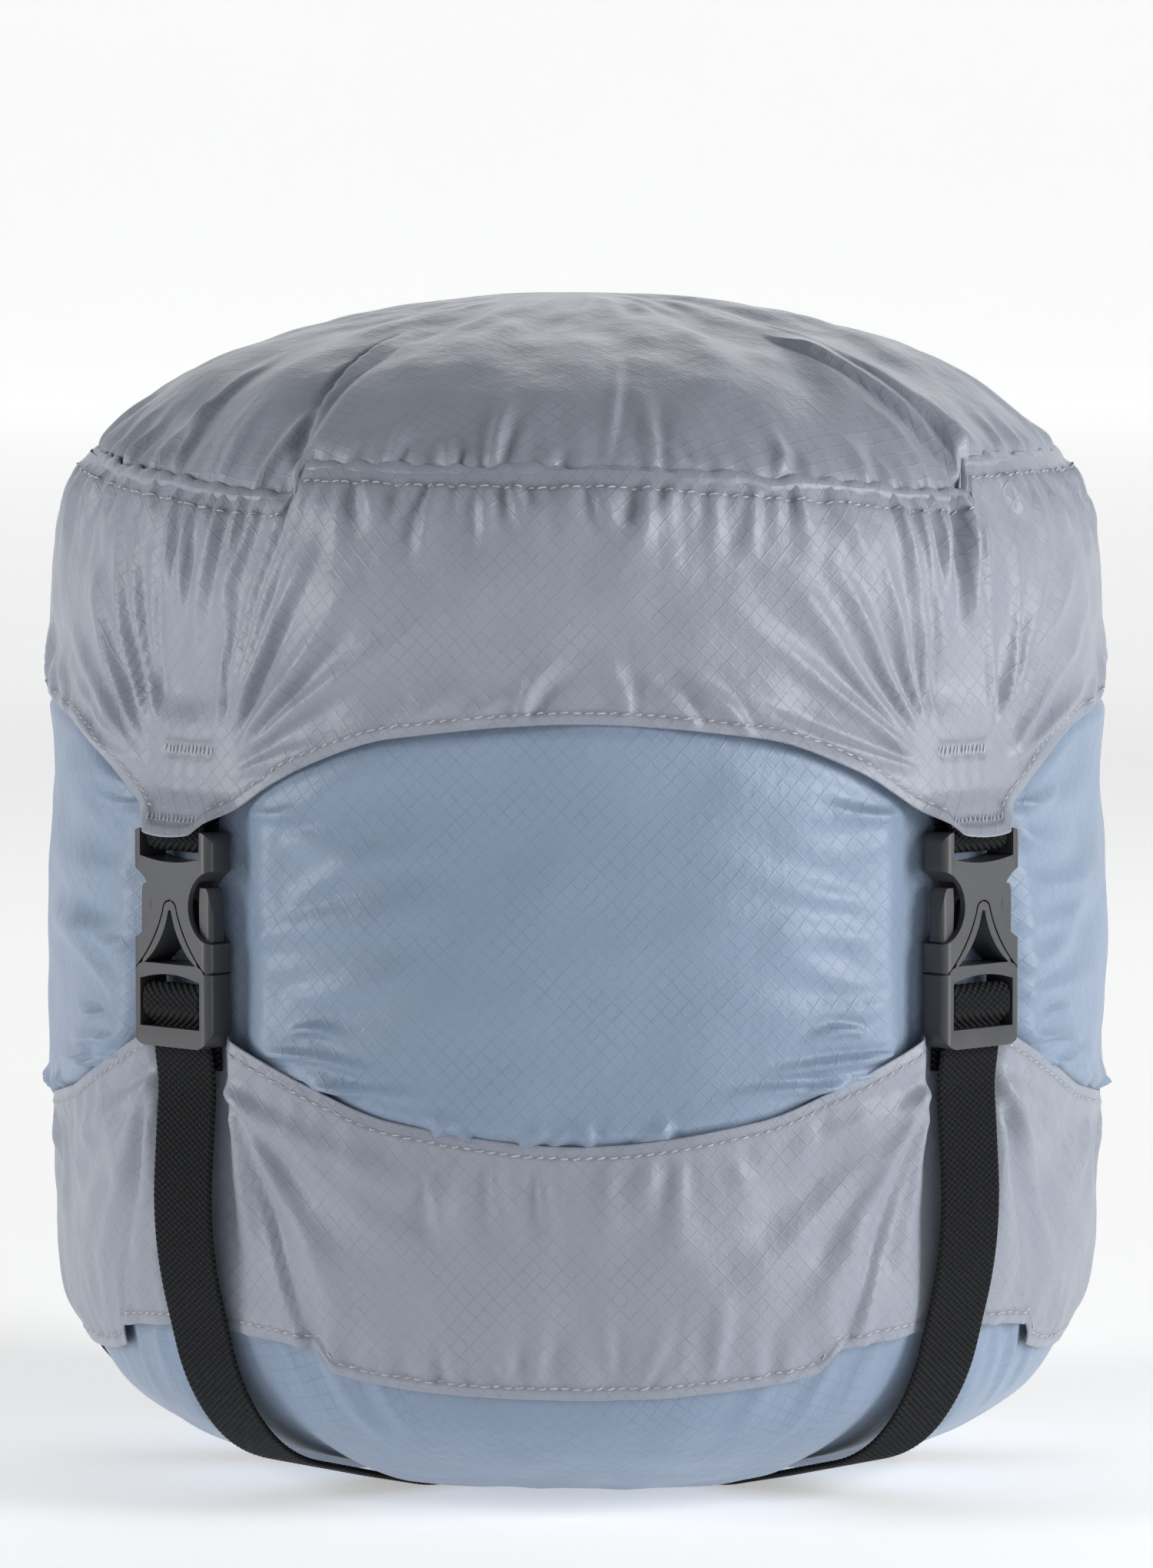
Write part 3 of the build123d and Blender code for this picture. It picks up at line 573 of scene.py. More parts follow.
def skirt_height(theta, z):
    offset = np.abs(strap_offset(theta))
    top = (edge_height(SKIRT_EDGE, theta) - z) * edge_lean(SKIRT_EDGE, theta)
    foot = z - edge_height(SKIRT_HEM, theta)
    free = smooth(top / 12) * smooth(foot / 9)
    soft = 0.95 * SKIRT_SOFT(theta, z) + 0.24 * SKIRT_FINE(theta, z)
    low = inside_tuck(SKIRT_TUCK, theta, z) * smooth((101 - z) / 18)
    h = soft * (0.3 + 0.7 * free) + spread(SKIRT_FOLDS, theta, z) + 0.5 - 0.9 * low
    h = h + hem(top) + hem(foot) + puckers(theta, top - 2.5, 8.5, 0.35, 9.0)
    h = h + puckers(theta, foot - 2.0, 9.0, 0.45, 9.0)
    h = h - 0.9 * smooth((4 - top) / 4) + 0.15
    under_strap = smooth((15 - offset) / 4)
    limit = 127.5 - sack_radius(z) - SKIRT_OUT
    pressed = np.minimum(h * 0.2 - 0.3, limit)
    return h * (1 - under_strap) + pressed * under_strap


def gathered_height(theta, z):
    """Pleats of the sack's top, deeper towards the neck that the drawcord closes."""
    rise = smooth((z - GATHER_Z) / (NECK_Z - GATHER_Z))
    wave = np.sin(theta * 34 + 1.4 * PUCKER_PHASE(theta, 0.0)) + 0.5 * np.sin(theta * 57 + 1.1)
    return -1.0 + rise * (1.5 * wave - 1.2) + 0.5 * WALL_SOFT(theta, z) * (1 - rise)


WALL_FOLDS, LID_FOLDS, DOME_FOLDS = wall_folds(), lid_folds(), dome_folds()
SKIRT_FOLDS, BASE_FOLDS = skirt_folds(), base_folds()


# ---- meshes --------------------------------------------------------------------------------
THETA = np.arange(COLUMNS) / COLUMNS * 2 * math.pi


def new_object(name, vertices, faces, loop_uv=None):
    """A smooth-shaded mesh object from points in millimetres, with the cloth's own flat map."""
    mesh = bpy.data.meshes.new(name)
    mesh.from_pydata((np.asarray(vertices) * MM).tolist(), [], faces)
    if loop_uv is not None:
        layer = mesh.uv_layers.new(name="cloth")
        layer.data.foreach_set("uv", np.asarray(loop_uv, np.float32).ravel())
    mesh.shade_smooth()
    obj = bpy.data.objects.new(name, mesh)
    bpy.context.scene.collection.objects.link(obj)
    return obj


def grid_object(name, points, u, v, wrap=True, cap=False):
    """A sheet from a grid of points, rows upwards and columns anticlockwise.

    u and v are the flat cloth's coordinates in millimetres, with a column more than the points have
    where the grid joins up with itself.
    """
    rows, columns = points.shape[:2]
    spans = columns if wrap else columns - 1
    r, c = np.meshgrid(np.arange(rows - 1), np.arange(spans), indexing="ij")
    n = (c + 1) % columns
    faces = np.stack([r * columns + c, r * columns + n, (r + 1) * columns + n, (r + 1) * columns + c], -1)
    faces = faces.reshape(-1, 4).tolist()
    corners = [(r, c), (r, c + 1), (r + 1, c + 1), (r + 1, c)]
    uv = np.stack([np.stack([u[i, j], v[i, j]], -1) for i, j in corners], -2).reshape(-1, 2)
    if cap:
        faces.append(list((rows - 1) * columns + np.arange(columns)))
        uv = np.concatenate([uv, np.stack([u[-1, :columns], v[-1, :columns]], -1)])
    return new_object(name, points.reshape(-1, 3), faces, uv)


def round_uv(heights):
    """Flat coordinates of a band round the sack: distance round it and height, with the joining column."""
    u = np.broadcast_to(np.arange(COLUMNS + 1) / COLUMNS * ROUND_MM, (heights.shape[0], COLUMNS + 1))
    return u, np.concatenate([heights, heights[:, :1]], 1)


def disc_uv(radii):
    """Flat coordinates of a round panel, by the distance of each row from its middle."""
    angle = np.arange(COLUMNS + 1) / COLUMNS * 2 * math.pi
    return radii[:, None] * np.cos(angle), radii[:, None] * np.sin(angle)


EDGE_STEPS = np.array([0.0, 0.5, 1.1, 1.7, 2.2, 2.7, 3.1, 3.5, 4.1, 5.0, 6.2])


def panel_heights(low, high, count):
    """Rows of heights between two edges: close together by both edges, even between them."""
    inner = np.linspace(0, 1, count)[1:-1, None]
    first, last = low + EDGE_STEPS[-1], high - EDGE_STEPS[-1]
    return np.concatenate(
        [low + EDGE_STEPS[:, None], first + (last - first) * inner, high - EDGE_STEPS[::-1, None]]
    )


def turned_in(points, outward, depth, width):
    """A hem's hidden inner layer: three rows behind the first rows of a panel, to put before them."""
    rows = [np.argmin(np.abs(EDGE_STEPS - w)) for w in (width, 0.5 * width)]
    back = [points[i] - outward[i] * depth for i in rows]
    edge = points[0] - outward[0] * depth * 0.55
    return np.stack([*back, edge])


def radial(points):
    """Unit directions away from the axis."""
    n = points * [1, 1, 0]
    return n / np.maximum(np.linalg.norm(n, axis=-1, keepdims=True), 1e-9)


def set_painted_groove_shade(obj, depth):
    """Stores how much painted shade each point of a mesh gets along its stitch lines, for its material to
    darken its colour there.
    """
    layer = obj.data.attributes.new("painted_groove_shade", "FLOAT", "POINT")
    layer.data.foreach_set("value", np.ascontiguousarray(depth, np.float32).ravel())
    return obj


def hemmed_band(name, place, height, painted_groove_shade, low, high, count, hem_low, hem_high):
    """A band of cloth round the sack between two edges, either of them with its hem turned in behind, with
    painted shade stored along its stitch lines.
    """
    z = panel_heights(low, high, count)
    points = raised(place, height, THETA, z)
    # painted shade along the stitch lines, one value per point
    dark = painted_groove_shade(THETA, z)
    if hem_low:
        dark = np.concatenate([np.zeros((3, COLUMNS)), dark])
    if hem_high:
        dark = np.concatenate([dark, np.zeros((3, COLUMNS))])
    if hem_low:
        inner = turned_in(points, radial(points), 0.8, 2.7)
        z = np.concatenate([z[0] + np.array([[2.7], [1.4], [0.2]]), z])
        points = np.concatenate([inner, points])
    if hem_high:
        flipped = points[::-1]
        inner = turned_in(flipped, radial(flipped), 0.8, 2.7)[::-1]
        z = np.concatenate([z, z[-1] - np.array([[0.2], [1.4], [2.7]])])
        points = np.concatenate([points, inner])
    return set_painted_groove_shade(grid_object(name, points, *round_uv(z)), dark)


def stitch_shade_at(distance):
    """How much painted shade a hem gets along its stitch line, at a distance from its edge."""
    return bell(distance - 2.75, 0.55)


def tube_object(name, path, radius, sides=10):
    """A closed round tube along a path of points, its map in millimetres round it and along it."""
    path = np.asarray(path, float)
    along = np.gradient(path, axis=0)
    along /= np.linalg.norm(along, axis=1, keepdims=True)
    side = np.cross(along, [0, 0, 1.0])
    side /= np.linalg.norm(side, axis=1, keepdims=True)
    up = np.cross(side, along)
    turn = np.arange(sides) / sides * 2 * math.pi
    ring = np.cos(turn)[None, :, None] * side[:, None] + np.sin(turn)[None, :, None] * up[:, None]
    radius = np.broadcast_to(radius, len(path))
    points = path[:, None] + ring * radius[:, None, None]
    s = np.concatenate([[0], np.cumsum(np.linalg.norm(np.diff(path, axis=0), axis=1))])
    u = np.broadcast_to(np.arange(sides + 1) / sides * 2 * math.pi * radius.max(), (len(path), sides + 1))
    v = np.broadcast_to(s[:, None], (len(path), sides + 1))
    return grid_object(name, points, u, v)


# ---- webbing -------------------------------------------------------------------------------
def rounded_path(corners, radii, step=0.75):
    """Evenly spaced points along straight runs joined by arcs, in the spoke's XZ plane."""
    points = [np.array(corners[0], float)]
    for i in range(1, len(corners) - 1):
        a, b, c = (np.array(p, float) for p in corners[i - 1:i + 2])
        into, out = (a - b) / np.linalg.norm(a - b), (c - b) / np.linalg.norm(c - b)
        half = math.acos(np.clip(into @ out, -1, 1)) / 2
        cut = min(radii[i - 1] / math.tan(half), 0.49 * np.linalg.norm(a - b), 0.49 * np.linalg.norm(c - b))
        for t in np.linspace(0, 1, 18):
            p, q = b + into * cut * (1 - t), b + out * cut * t
            points.append(p * (1 - t) + q * t)
    points.append(np.array(corners[-1], float))
    points = np.array(points)
    s = np.concatenate([[0], np.cumsum(np.linalg.norm(np.diff(points, axis=0), axis=1))])
    even = np.linspace(0, s[-1], int(s[-1] / step) + 1)
    return np.stack([np.interp(even, s, points[:, k]) for k in range(2)], 1), even


RIB_ACROSS, RIB_ALONG = 2.2, 1.5                   # pitch of the webbing's weave


def webbing_object(name, angle, corners, radii, thickness):
    """A flat woven strap along a path in a strap's plane, with its ribs raised and its edges scalloped."""
    path, s = rounded_path(corners, radii)
    along = np.gradient(path, axis=0)
    along /= np.linalg.norm(along, axis=1, keepdims=True)
    out = np.stack([along[:, 1], -along[:, 0]], 1)
    half_w, half_t = WEB_WIDTH / 2, thickness / 2
    across = np.linspace(-half_w, half_w, 37)
    face_y = np.concatenate([across, across[::-1]])
    face_side = np.concatenate([np.ones(37), -np.ones(37)])
    rim = np.clip((half_w - np.abs(face_y)) / 0.9, 0, 1)
    body = face_side * half_t * np.sqrt(1 - (1 - rim) ** 2)
    column = np.floor((face_y + half_w) / (RIB_ACROSS / 2))
    weave = np.sin(2 * math.pi * s[:, None] / RIB_ALONG + math.pi * column[None, :])
    relief = 0.12 * weave * rim[None, :] * face_side[None, :]
    edge_wave = 0.12 * np.sin(2 * math.pi * s[:, None] / RIB_ALONG) * (rim[None, :] < 0.5) * np.sign(face_y)
    off = body[None, :] + relief
    y = face_y[None, :] + edge_wave
    x = path[:, None, 0] + out[:, None, 0] * off
    z = path[:, None, 1] + out[:, None, 1] * off
    c, si = math.cos(angle), math.sin(angle)
    points = np.stack([x * c - y * si, x * si + y * c, z], -1)
    rows, columns = x.shape
    u = np.broadcast_to(np.append(face_y, face_y[0]) + half_w, (rows, columns + 1))
    v = np.broadcast_to(s[:, None], (rows, columns + 1))
    return grid_object(name, points, u, v)


def half_turn(centre, radius, first, last, steps=9):
    """Points of an arc about a bar, from one angle to another in degrees."""
    turn = np.radians(np.linspace(first, last, steps))
    return [(centre[0] + radius * math.cos(t), centre[1] + radius * math.sin(t)) for t in turn]


def strap_corners():
    """The strap from its tail under the base, up to the ladder bar, over it and back down to the skirt."""
    up = [(26, TAIL_Z), (60, TAIL_Z), (107, 12), (122, 29), (133, 66), (130.4, 103)]
    up += [(BUCKLE_R, 112), (BUCKLE_R, 117.2), (135.35, 120.2)]
    over = half_turn((132.9, 124), 2.45, 0, 180)
    down = [(130.45, 116), (128.6, 111.5), (128.35, 106.5)]
    corners = up + over + down
    radii = [40, 60, 70, 90, 30, 8, 4, 2] + [1] * len(over) + [4, 4]
    return corners, radii


def handle_corners():
    """The handle from one side of the base to the other, tucked in where the skirt covers its ends."""
    last = BASE.length * 0.985
    v = np.linspace(0, last, 46)
    r, z = BASE.at(v)
    dr, dz = np.gradient(r), np.gradient(z)
    length = np.hypot(dr, dz)
    out = HANDLE_OUT - 1.7 * smooth((z - 33.0) / 6)
    half = list(zip(r + out * dz / length, z - out * dr / length))
    corners = [(-x, z) for x, z in reversed(half[1:])] + half
    return corners, [40.0] * (len(corners) - 2)


def loop_corners():
    """The loop from behind the lid's point, round the socket's top bar and back up to the bartack."""
    down = [(126.5, 176.5), (126.5, 173), (129.3, 166)]
    under = half_turn((BUCKLE_R, 161.2), 2.5, 180, 360)
    up = [(134.3, 164), (127.9, 173), (127.9, 176.5)]
    corners = down + under + up
    return corners, [4, 4] + [1] * (len(corners) - 6) + [3, 4]


# ---- stitches ------------------------------------------------------------------------------
def stitches_object(name, centres, directions, normals, lengths, radius, lift=0.12):
    """Short thread stitches as one mesh: small rounded bars that sink into the cloth at both ends."""
    sides, rings = 6, np.array([-1.0, -0.82, -0.4, 0.0, 0.4, 0.82, 1.0])
    sink = -0.28 * np.abs(rings) ** 3
    girth = np.array([0.35, 0.85, 1.0, 1.0, 1.0, 0.85, 0.35])
    turn = np.arange(sides) / sides * 2 * math.pi
    d = directions / np.linalg.norm(directions, axis=1, keepdims=True)
    n = normals / np.linalg.norm(normals, axis=1, keepdims=True)
    b = np.cross(n, d)
    mid = centres[:, None] + d[:, None] * (rings[None, :, None] * lengths[:, None, None] / 2)
    mid = mid + n[:, None] * (lift + sink[None, :, None])
    ring = np.cos(turn)[:, None] * b[:, None, None] + np.sin(turn)[:, None] * n[:, None, None]
    points = mid[:, :, None] + ring * (radius * girth)[None, :, None, None]
    count = len(centres)
    block = len(rings) * sides
    r, c = np.meshgrid(np.arange(len(rings) - 1), np.arange(sides), indexing="ij")
    k = (c + 1) % sides
    quad = [r * sides + c, r * sides + k, (r + 1) * sides + k, (r + 1) * sides + c]
    one = np.stack(quad, -1).reshape(-1, 4)
    faces = (one[None] + np.arange(count)[:, None, None] * block).reshape(-1, 4).tolist()
    start = np.arange(count) * block
    faces += [list(s + np.arange(sides)[::-1]) for s in start]
    faces += [list(s + block - sides + np.arange(sides)) for s in start]
    return new_object(name, points.reshape(-1, 3), faces)


def frame_on(place, height, theta, v):
    """Positions on a raised surface with their outward normals."""
    step = 0.5
    p = raised(place, height, theta, v)
    turn = step / SACK_R
    across = raised(place, height, theta + turn, v) - raised(place, height, theta - turn, v)
    up = raised(place, height, theta, v + step) - raised(place, height, theta, v - step)
    n = np.cross(across, up)
    return p, n / np.linalg.norm(n, axis=-1, keepdims=True)


def edge_stitches(name, place, height, line, seed, pitch=2.9, length=2.1, radius=0.24, keep=None):
    """A run of lockstitches round the sack along line(theta), leaning a little one way and the other."""
    rng = np.random.default_rng(seed)
    count = round(ROUND_MM / pitch)
    theta = np.arange(count) / count * 2 * math.pi
    if keep is not None:
        theta = theta[keep(theta)]
    v = line(theta) + rng.uniform(-0.12, 0.12, len(theta))
    p, n = frame_on(place, height, theta, v)
    ahead, _ = frame_on(place, height, theta + 0.6 / SACK_R, line(theta + 0.6 / SACK_R))
    behind, _ = frame_on(place, height, theta - 0.6 / SACK_R, line(theta - 0.6 / SACK_R))
    direction = ahead - behind
    lean = np.cross(n, direction) * rng.uniform(0.02, 0.3, (len(theta), 1))
    lengths = length * rng.uniform(0.85, 1.1, len(theta))
    return stitches_object(name, p, direction + lean, n, lengths, radius)


def bartack_stitches(name, place, height, rows, half_width, tall, pitch=1.35, offsets=None):
    """Dense upright stitches across each strap at the given heights, between two straight runs."""
    rng = np.random.default_rng(61)
    theta, v, lean = [], [], []
    marks = np.arange(-half_width, half_width + 0.01, pitch) if offsets is None else np.array(offsets)
    for angle in map(math.radians, SPOKES.values()):
        for z in rows:
            theta += list(angle + (marks + rng.uniform(-0.12, 0.12, len(marks))) / SACK_R)
            v += list(z + rng.uniform(-0.15, 0.15, len(marks)))
            lean += list(rng.uniform(0.12, 0.3, len(marks)))
    theta, v, lean = np.array(theta), np.array(v), np.array(lean)
    p, n = frame_on(place, height, theta, v)
    up = np.stack([0 * theta, 0 * theta, 1 + 0 * theta], -1)
    side = np.stack([-np.sin(theta), np.cos(theta), 0 * theta], -1)
    lengths = np.full(len(theta), tall)
    return stitches_object(name, p, up + side * lean[:, None], n, lengths, 0.27, lift=0.16)


# ---- materials -----------------------------------------------------------------------------
class Nodes:
    """A material being made: add() puts in a node, with its inputs as values or as other nodes' outputs."""

    def __init__(self, name):
        self.material = bpy.data.materials.new(name)
        self.material.use_nodes = True
        self.tree = self.material.node_tree
        self.shader = self.tree.nodes["Principled BSDF"]

    def add(self, kind, out=0, settings=(), **inputs):
        node = self.tree.nodes.new("ShaderNode" + kind)
        for key, value in settings:
            setattr(node, key, value)
        for key, value in inputs.items():
            socket = node.inputs[int(key[1:])] if key[0] == "i" and key[1:].isdigit() else node.inputs[key]
            self.put(socket, value)
        return node.outputs[out]

    def put(self, socket, value):
        if isinstance(value, bpy.types.NodeSocket):
            self.tree.links.new(value, socket)
        else:
            socket.default_value = value

    def set(self, **inputs):
        for key, value in inputs.items():
            self.put(self.shader.inputs[key.replace("_", " ")], value)

    def math(self, operation, a, b=0.0, c=0.0):
        return self.add("Math", settings=[("operation", operation)], i0=a, i1=b, i2=c)

    def mix(self, factor, a, b):
        """A colour between a and b."""
        node = self.tree.nodes.new("ShaderNodeMix")
        node.data_type = "RGBA"
        for socket, value in ((node.inputs[0], factor), (node.inputs[6], a), (node.inputs[7], b)):
            self.put(socket, value)
        return node.outputs[2]

    def span(self, value, low, high, to_low=0.0, to_high=1.0):
        return self.add("MapRange", i0=value, i1=low, i2=high, i3=to_low, i4=to_high)

    def noise(self, vector, scale, detail=3.0):
        return self.add("TexNoise", Vector=vector, Scale=scale, Detail=detail)

    def bump(self, height, strength, distance, under=None):
        extra = {} if under is None else {"Normal": under}
        return self.add("Bump", Height=height, Strength=strength, Distance=distance, **extra)


def linear(r, g, b):
    """A colour given in 8-bit sRGB, as the shaders' linear one."""
    channels = [c / 255 for c in (r, g, b)]
    return tuple(c / 12.92 if c < 0.04045 else ((c + 0.055) / 1.055) ** 2.4 for c in channels) + (1.0,)


def shaded(colour, factor):
    return tuple(c * factor for c in colour[:3]) + (1.0,)


def ripstop(name, colour, square=3.3, line=0.26, sheen_tint=(0.8, 0.88, 1.0, 1.0)):
    """Satin nylon: a fine plain weave crossed by thicker threads in a diagonal grid of small squares,
    darkened by painted shade along its stitch lines.
    """
    m = Nodes(name)
    cloth = m.add("UVMap", settings=[("uv_map", "cloth")])
    x, y = (m.add("SeparateXYZ", out=i, Vector=cloth) for i in range(2))
    waver = m.span(m.noise(cloth, 0.035, 2.0), 0, 1, -1.5, 1.5)
    a = m.math("DIVIDE", m.math("ADD", m.math("ADD", x, y), waver), square * math.sqrt(2))
    b = m.math("DIVIDE", m.math("ADD", m.math("SUBTRACT", x, y), waver), square * math.sqrt(2))

    def thread(t):
        """1 on a grid line, 0 away from it."""
        away = m.math("ABSOLUTE", m.math("SUBTRACT", m.math("FRACT", t), 0.5))
        return m.span(away, 0.5 - line / square, 0.5 - 0.3 * line / square)

    grid = m.math("MAXIMUM", thread(a), thread(b))
    patchy = m.span(m.noise(cloth, 0.06, 3.0), 0.38, 0.62, 0.12, 1.0)
    broken = m.span(m.noise(cloth, 0.9, 2.0), 0.35, 0.6, 0.3, 1.0)
    shown = m.math("MULTIPLY", m.math("MULTIPLY", grid, patchy), broken)
    tone = m.span(m.noise(cloth, 0.012, 4.0), 0.3, 0.7)
    body = m.mix(tone, shaded(colour, 0.95), shaded(colour, 1.05))
    speck = m.span(m.noise(cloth, 1.6, 2.0), 0.3, 0.7)
    body = m.mix(m.math("MULTIPLY", speck, 0.5), body, shaded(colour, 0.93))
    lined = m.mix(m.math("MULTIPLY", shown, 0.34), body, shaded(colour, 0.55))
    # painted shade: the colour darkens towards 0.42 of the cloth's colour along stitch lines, by each
    # point's stored value
    painted_groove_shade = m.add("Attribute", out=2, settings=[("attribute_name", "painted_groove_shade")])
    m.set(Base_Color=m.mix(m.math("MULTIPLY", painted_groove_shade, 0.5), lined, shaded(colour, 0.42)))
    weft = m.math("SINE", m.math("MULTIPLY", m.math("ADD", x, y), 2 * math.pi / 0.62))
    warp = m.math("SINE", m.math("MULTIPLY", m.math("SUBTRACT", x, y), 2 * math.pi / 0.62))
    fine = m.bump(m.math("MULTIPLY", weft, warp), 0.16, 0.00006)
    crumple = m.bump(m.noise(cloth, 0.28, 4.0), 0.42, 0.0007, fine)
    m.set(Normal=m.bump(grid, 0.35, 0.00012, crumple))
    m.set(Roughness=m.span(m.noise(cloth, 0.08, 3.0), 0.3, 0.7, 0.34, 0.45))
    m.set(Specular_IOR_Level=0.42, Sheen_Weight=0.22, Sheen_Roughness=0.45, Sheen_Tint=sheen_tint)
    return m.material


def webbing_material(name, colour):
    """Matt polypropylene webbing: raised bundles of filaments, with painted shade in the gaps between them
    and a patchy painted highlight on their tops.
    """
    m = Nodes(name)
    cloth = m.add("UVMap", settings=[("uv_map", "cloth")])
    x, y = (m.add("SeparateXYZ", out=i, Vector=cloth) for i in range(2))
    across = m.math("SINE", m.math("MULTIPLY", x, 2 * math.pi / RIB_ACROSS))
    along = m.math("SINE", m.math("MULTIPLY", y, 2 * math.pi / RIB_ALONG))
    weave = m.math("MULTIPLY", across, along)
    raised_part = m.span(weave, -0.55, 0.5)
    # patches where the painted highlight on the bundles' tops is stronger; they also vary the roughness
    highlight_patches = m.span(m.noise(cloth, 0.4, 4.0), 0.35, 0.7)
    top = m.mix(highlight_patches, colour, shaded(colour, 1.5))
    # painted shade in the gaps of the weave and painted highlight on its raised bundles
    m.set(Base_Color=m.mix(raised_part, shaded(colour, 0.22), top))
    strands = m.math("SINE", m.math("MULTIPLY", x, 2 * math.pi / 0.27))
    fine = m.bump(strands, 0.2, 0.00005)
    m.set(Normal=m.bump(weave, 0.9, 0.0004, fine))
    m.set(Roughness=m.span(highlight_patches, 0, 1, 0.62, 0.8), Specular_IOR_Level=0.22)
    return m.material


def moulded(name, colour, roughness=0.36):
    """Satin moulded plastic with a fine spark-eroded grain, lighter where hands have rubbed it."""
    m = Nodes(name)
    place = m.add("TexCoord", out=3)
    grain = m.noise(place, 2600.0, 3.0)
    flow = m.noise(place, 55.0, 4.0)
    edge = m.span(m.add("NewGeometry", out=7), 0.5, 0.6)
    body = m.mix(m.span(flow, 0.35, 0.65), shaded(colour, 0.86), shaded(colour, 1.14))
    m.set(Base_Color=m.mix(m.math("MULTIPLY", edge, 0.5), body, shaded(colour, 1.9)))
    m.set(Roughness=m.span(flow, 0.3, 0.7, roughness - 0.05, roughness + 0.08))
    m.set(Normal=m.bump(grain, 0.25, 0.00005, m.bump(flow, 0.1, 0.0004)), Specular_IOR_Level=0.5)
    return m.material


def thread_material(name, colour):
    """Twisted sewing thread, a little lighter than the cloth it holds."""
    m = Nodes(name)
    place = m.add("TexCoord", out=3)
    twist = m.noise(place, 1500.0, 2.0)
    m.set(Base_Color=m.mix(m.span(twist, 0.3, 0.7), shaded(colour, 0.72), shaded(colour, 1.12)))
    m.set(Normal=m.bump(twist, 0.5, 0.0001), Roughness=m.span(twist, 0.3, 0.7, 0.42, 0.6))
    m.set(Sheen_Weight=0.2)
    return m.material


def braid_material(name, colour, fleck):
    """Round braided cord: strands that cross in both directions, with light flecks and painted shade
    between the strands.
    """
    m = Nodes(name)
    cloth = m.add("UVMap", settings=[("uv_map", "cloth")])
    x, y = (m.add("SeparateXYZ", out=i, Vector=cloth) for i in range(2))
    one = m.math("SINE", m.math("MULTIPLY", m.math("ADD", x, y), 2 * math.pi / 1.2))
    two = m.math("SINE", m.math("MULTIPLY", m.math("SUBTRACT", x, y), 2 * math.pi / 1.2))
    weave = m.math("MAXIMUM", one, two)
    spots = m.span(m.noise(cloth, 1.1, 2.0), 0.6, 0.7)
    # painted shade: the colour halves where the strands dip between each other
    m.set(Base_Color=m.mix(spots, m.mix(m.span(weave, 0, 1), shaded(colour, 0.5), colour), fleck))
    m.set(Normal=m.bump(weave, 0.6, 0.0002), Roughness=m.span(weave, 0, 1, 0.75, 0.58))
    return m.material


def wire_material(name):
    """Drawn spring steel with fine scratches along it."""
    m = Nodes(name)
    place = m.add("TexCoord", out=3)
    scratch = m.noise(place, 900.0, 4.0)
    m.set(Base_Color=m.mix(m.span(scratch, 0.3, 0.7), (0.42, 0.42, 0.43, 1), (0.62, 0.62, 0.62, 1)))
    roughness = m.span(scratch, 0.3, 0.7, 0.24, 0.4)
    m.set(Metallic=1.0, Roughness=roughness, Normal=m.bump(scratch, 0.2, 0.00003))
    return m.material


SACK_CLOTH = ripstop("sack_ripstop", (0.225, 0.292, 0.398, 1.0))
HARNESS_CLOTH = ripstop("harness_ripstop", (0.278, 0.301, 0.356, 1.0), sheen_tint=(0.92, 0.94, 1.0, 1.0))
WEBBING = webbing_material("webbing", (0.0095, 0.0105, 0.0125, 1.0))
PLASTIC = moulded("buckle_plastic", (0.034, 0.035, 0.038, 1.0))
LOCK_PLASTIC = moulded("cord_lock_plastic", (0.03, 0.03, 0.033, 1.0), 0.4)
THREAD = thread_material("thread", linear(176, 181, 190))
CORD_BRAID = braid_material("drawcord", (0.05, 0.055, 0.065, 1.0), (0.4, 0.43, 0.5, 1.0))
STEEL = wire_material("spring_wire")


# ---- camera --------------------------------------------------------------------------------
def make_camera():
    """A long lens a little above the sack's top, looking slightly down."""
    data = bpy.data.cameras.new("camera")
    data.sensor_fit = "HORIZONTAL"
    data.angle = 2 * math.atan(0.1416 / 2.3)
    data.clip_end = 50
    camera = bpy.data.objects.new("camera", data)
    bpy.context.scene.collection.objects.link(camera)
    camera.location = (0.0, -2.3, 0.345)
    aim = Vector((0.0, 0.0, 0.167)) - camera.location
    camera.rotation_euler = aim.to_track_quat("-Z", "Y").to_euler()
    bpy.context.scene.camera = camera


# ---- pieces --------------------------------------------------------------------------------
def finish_piece(obj, body, material, slot, *nodes):
    """Gives a finished piece its material, its CAD body and the CAD nodes it stands for."""
    obj.data.materials.append(material)
    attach(obj, body)
    if nodes:
        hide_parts(*nodes)
    return obj


def make_base():
    last = BASE.length - 0.5
    v = np.concatenate([np.linspace(0.8, last * 0.3, 16)[:-1], np.linspace(last * 0.3, last, 84)])
    points = raised(base_place, base_height, THETA, v[:, None])
    u, w = disc_uv(v)
    # rows run from the middle outwards, so they are turned round to close the middle last
    points, u, w = points[::-1], u[::-1], w[::-1]
    obj = grid_object("base_panel", points, u, w, cap=True)
    for face in obj.data.polygons:
        face.flip()
    return finish_piece(obj, "root", SACK_CLOTH, "sack_ripstop", "sack_base")


def make_wall():
    hidden_low, hidden_high = np.linspace(BASE_SEAM_Z, 84, 14), np.linspace(194, GATHER_Z, 14)
    z = np.concatenate([hidden_low, np.linspace(84, 194, 124)[1:-1], hidden_high])[:, None] + 0 * THETA
    points = raised(wall_place, wall_height, THETA, z)
    obj = grid_object("side_panel", points, *round_uv(z))
    return finish_piece(obj, "root", SACK_CLOTH, "sack_ripstop", "sack_wall")


def make_gathered_top():
    turn = np.linspace(0, 1, 70)
    z = (GATHER_Z + (NECK_Z - GATHER_Z) * (1 - (1 - turn) ** 1.8))[:, None] + 0 * THETA
    points = raised(wall_place, gathered_height, THETA, z)
    u, _ = round_uv(z)
    w = np.broadcast_to((turn * 105)[:, None], u.shape)
    obj = grid_object("gathered_top_panel", points, u, w)
    return finish_piece(obj, "root", SACK_CLOTH, "sack_ripstop", "gathered_top")


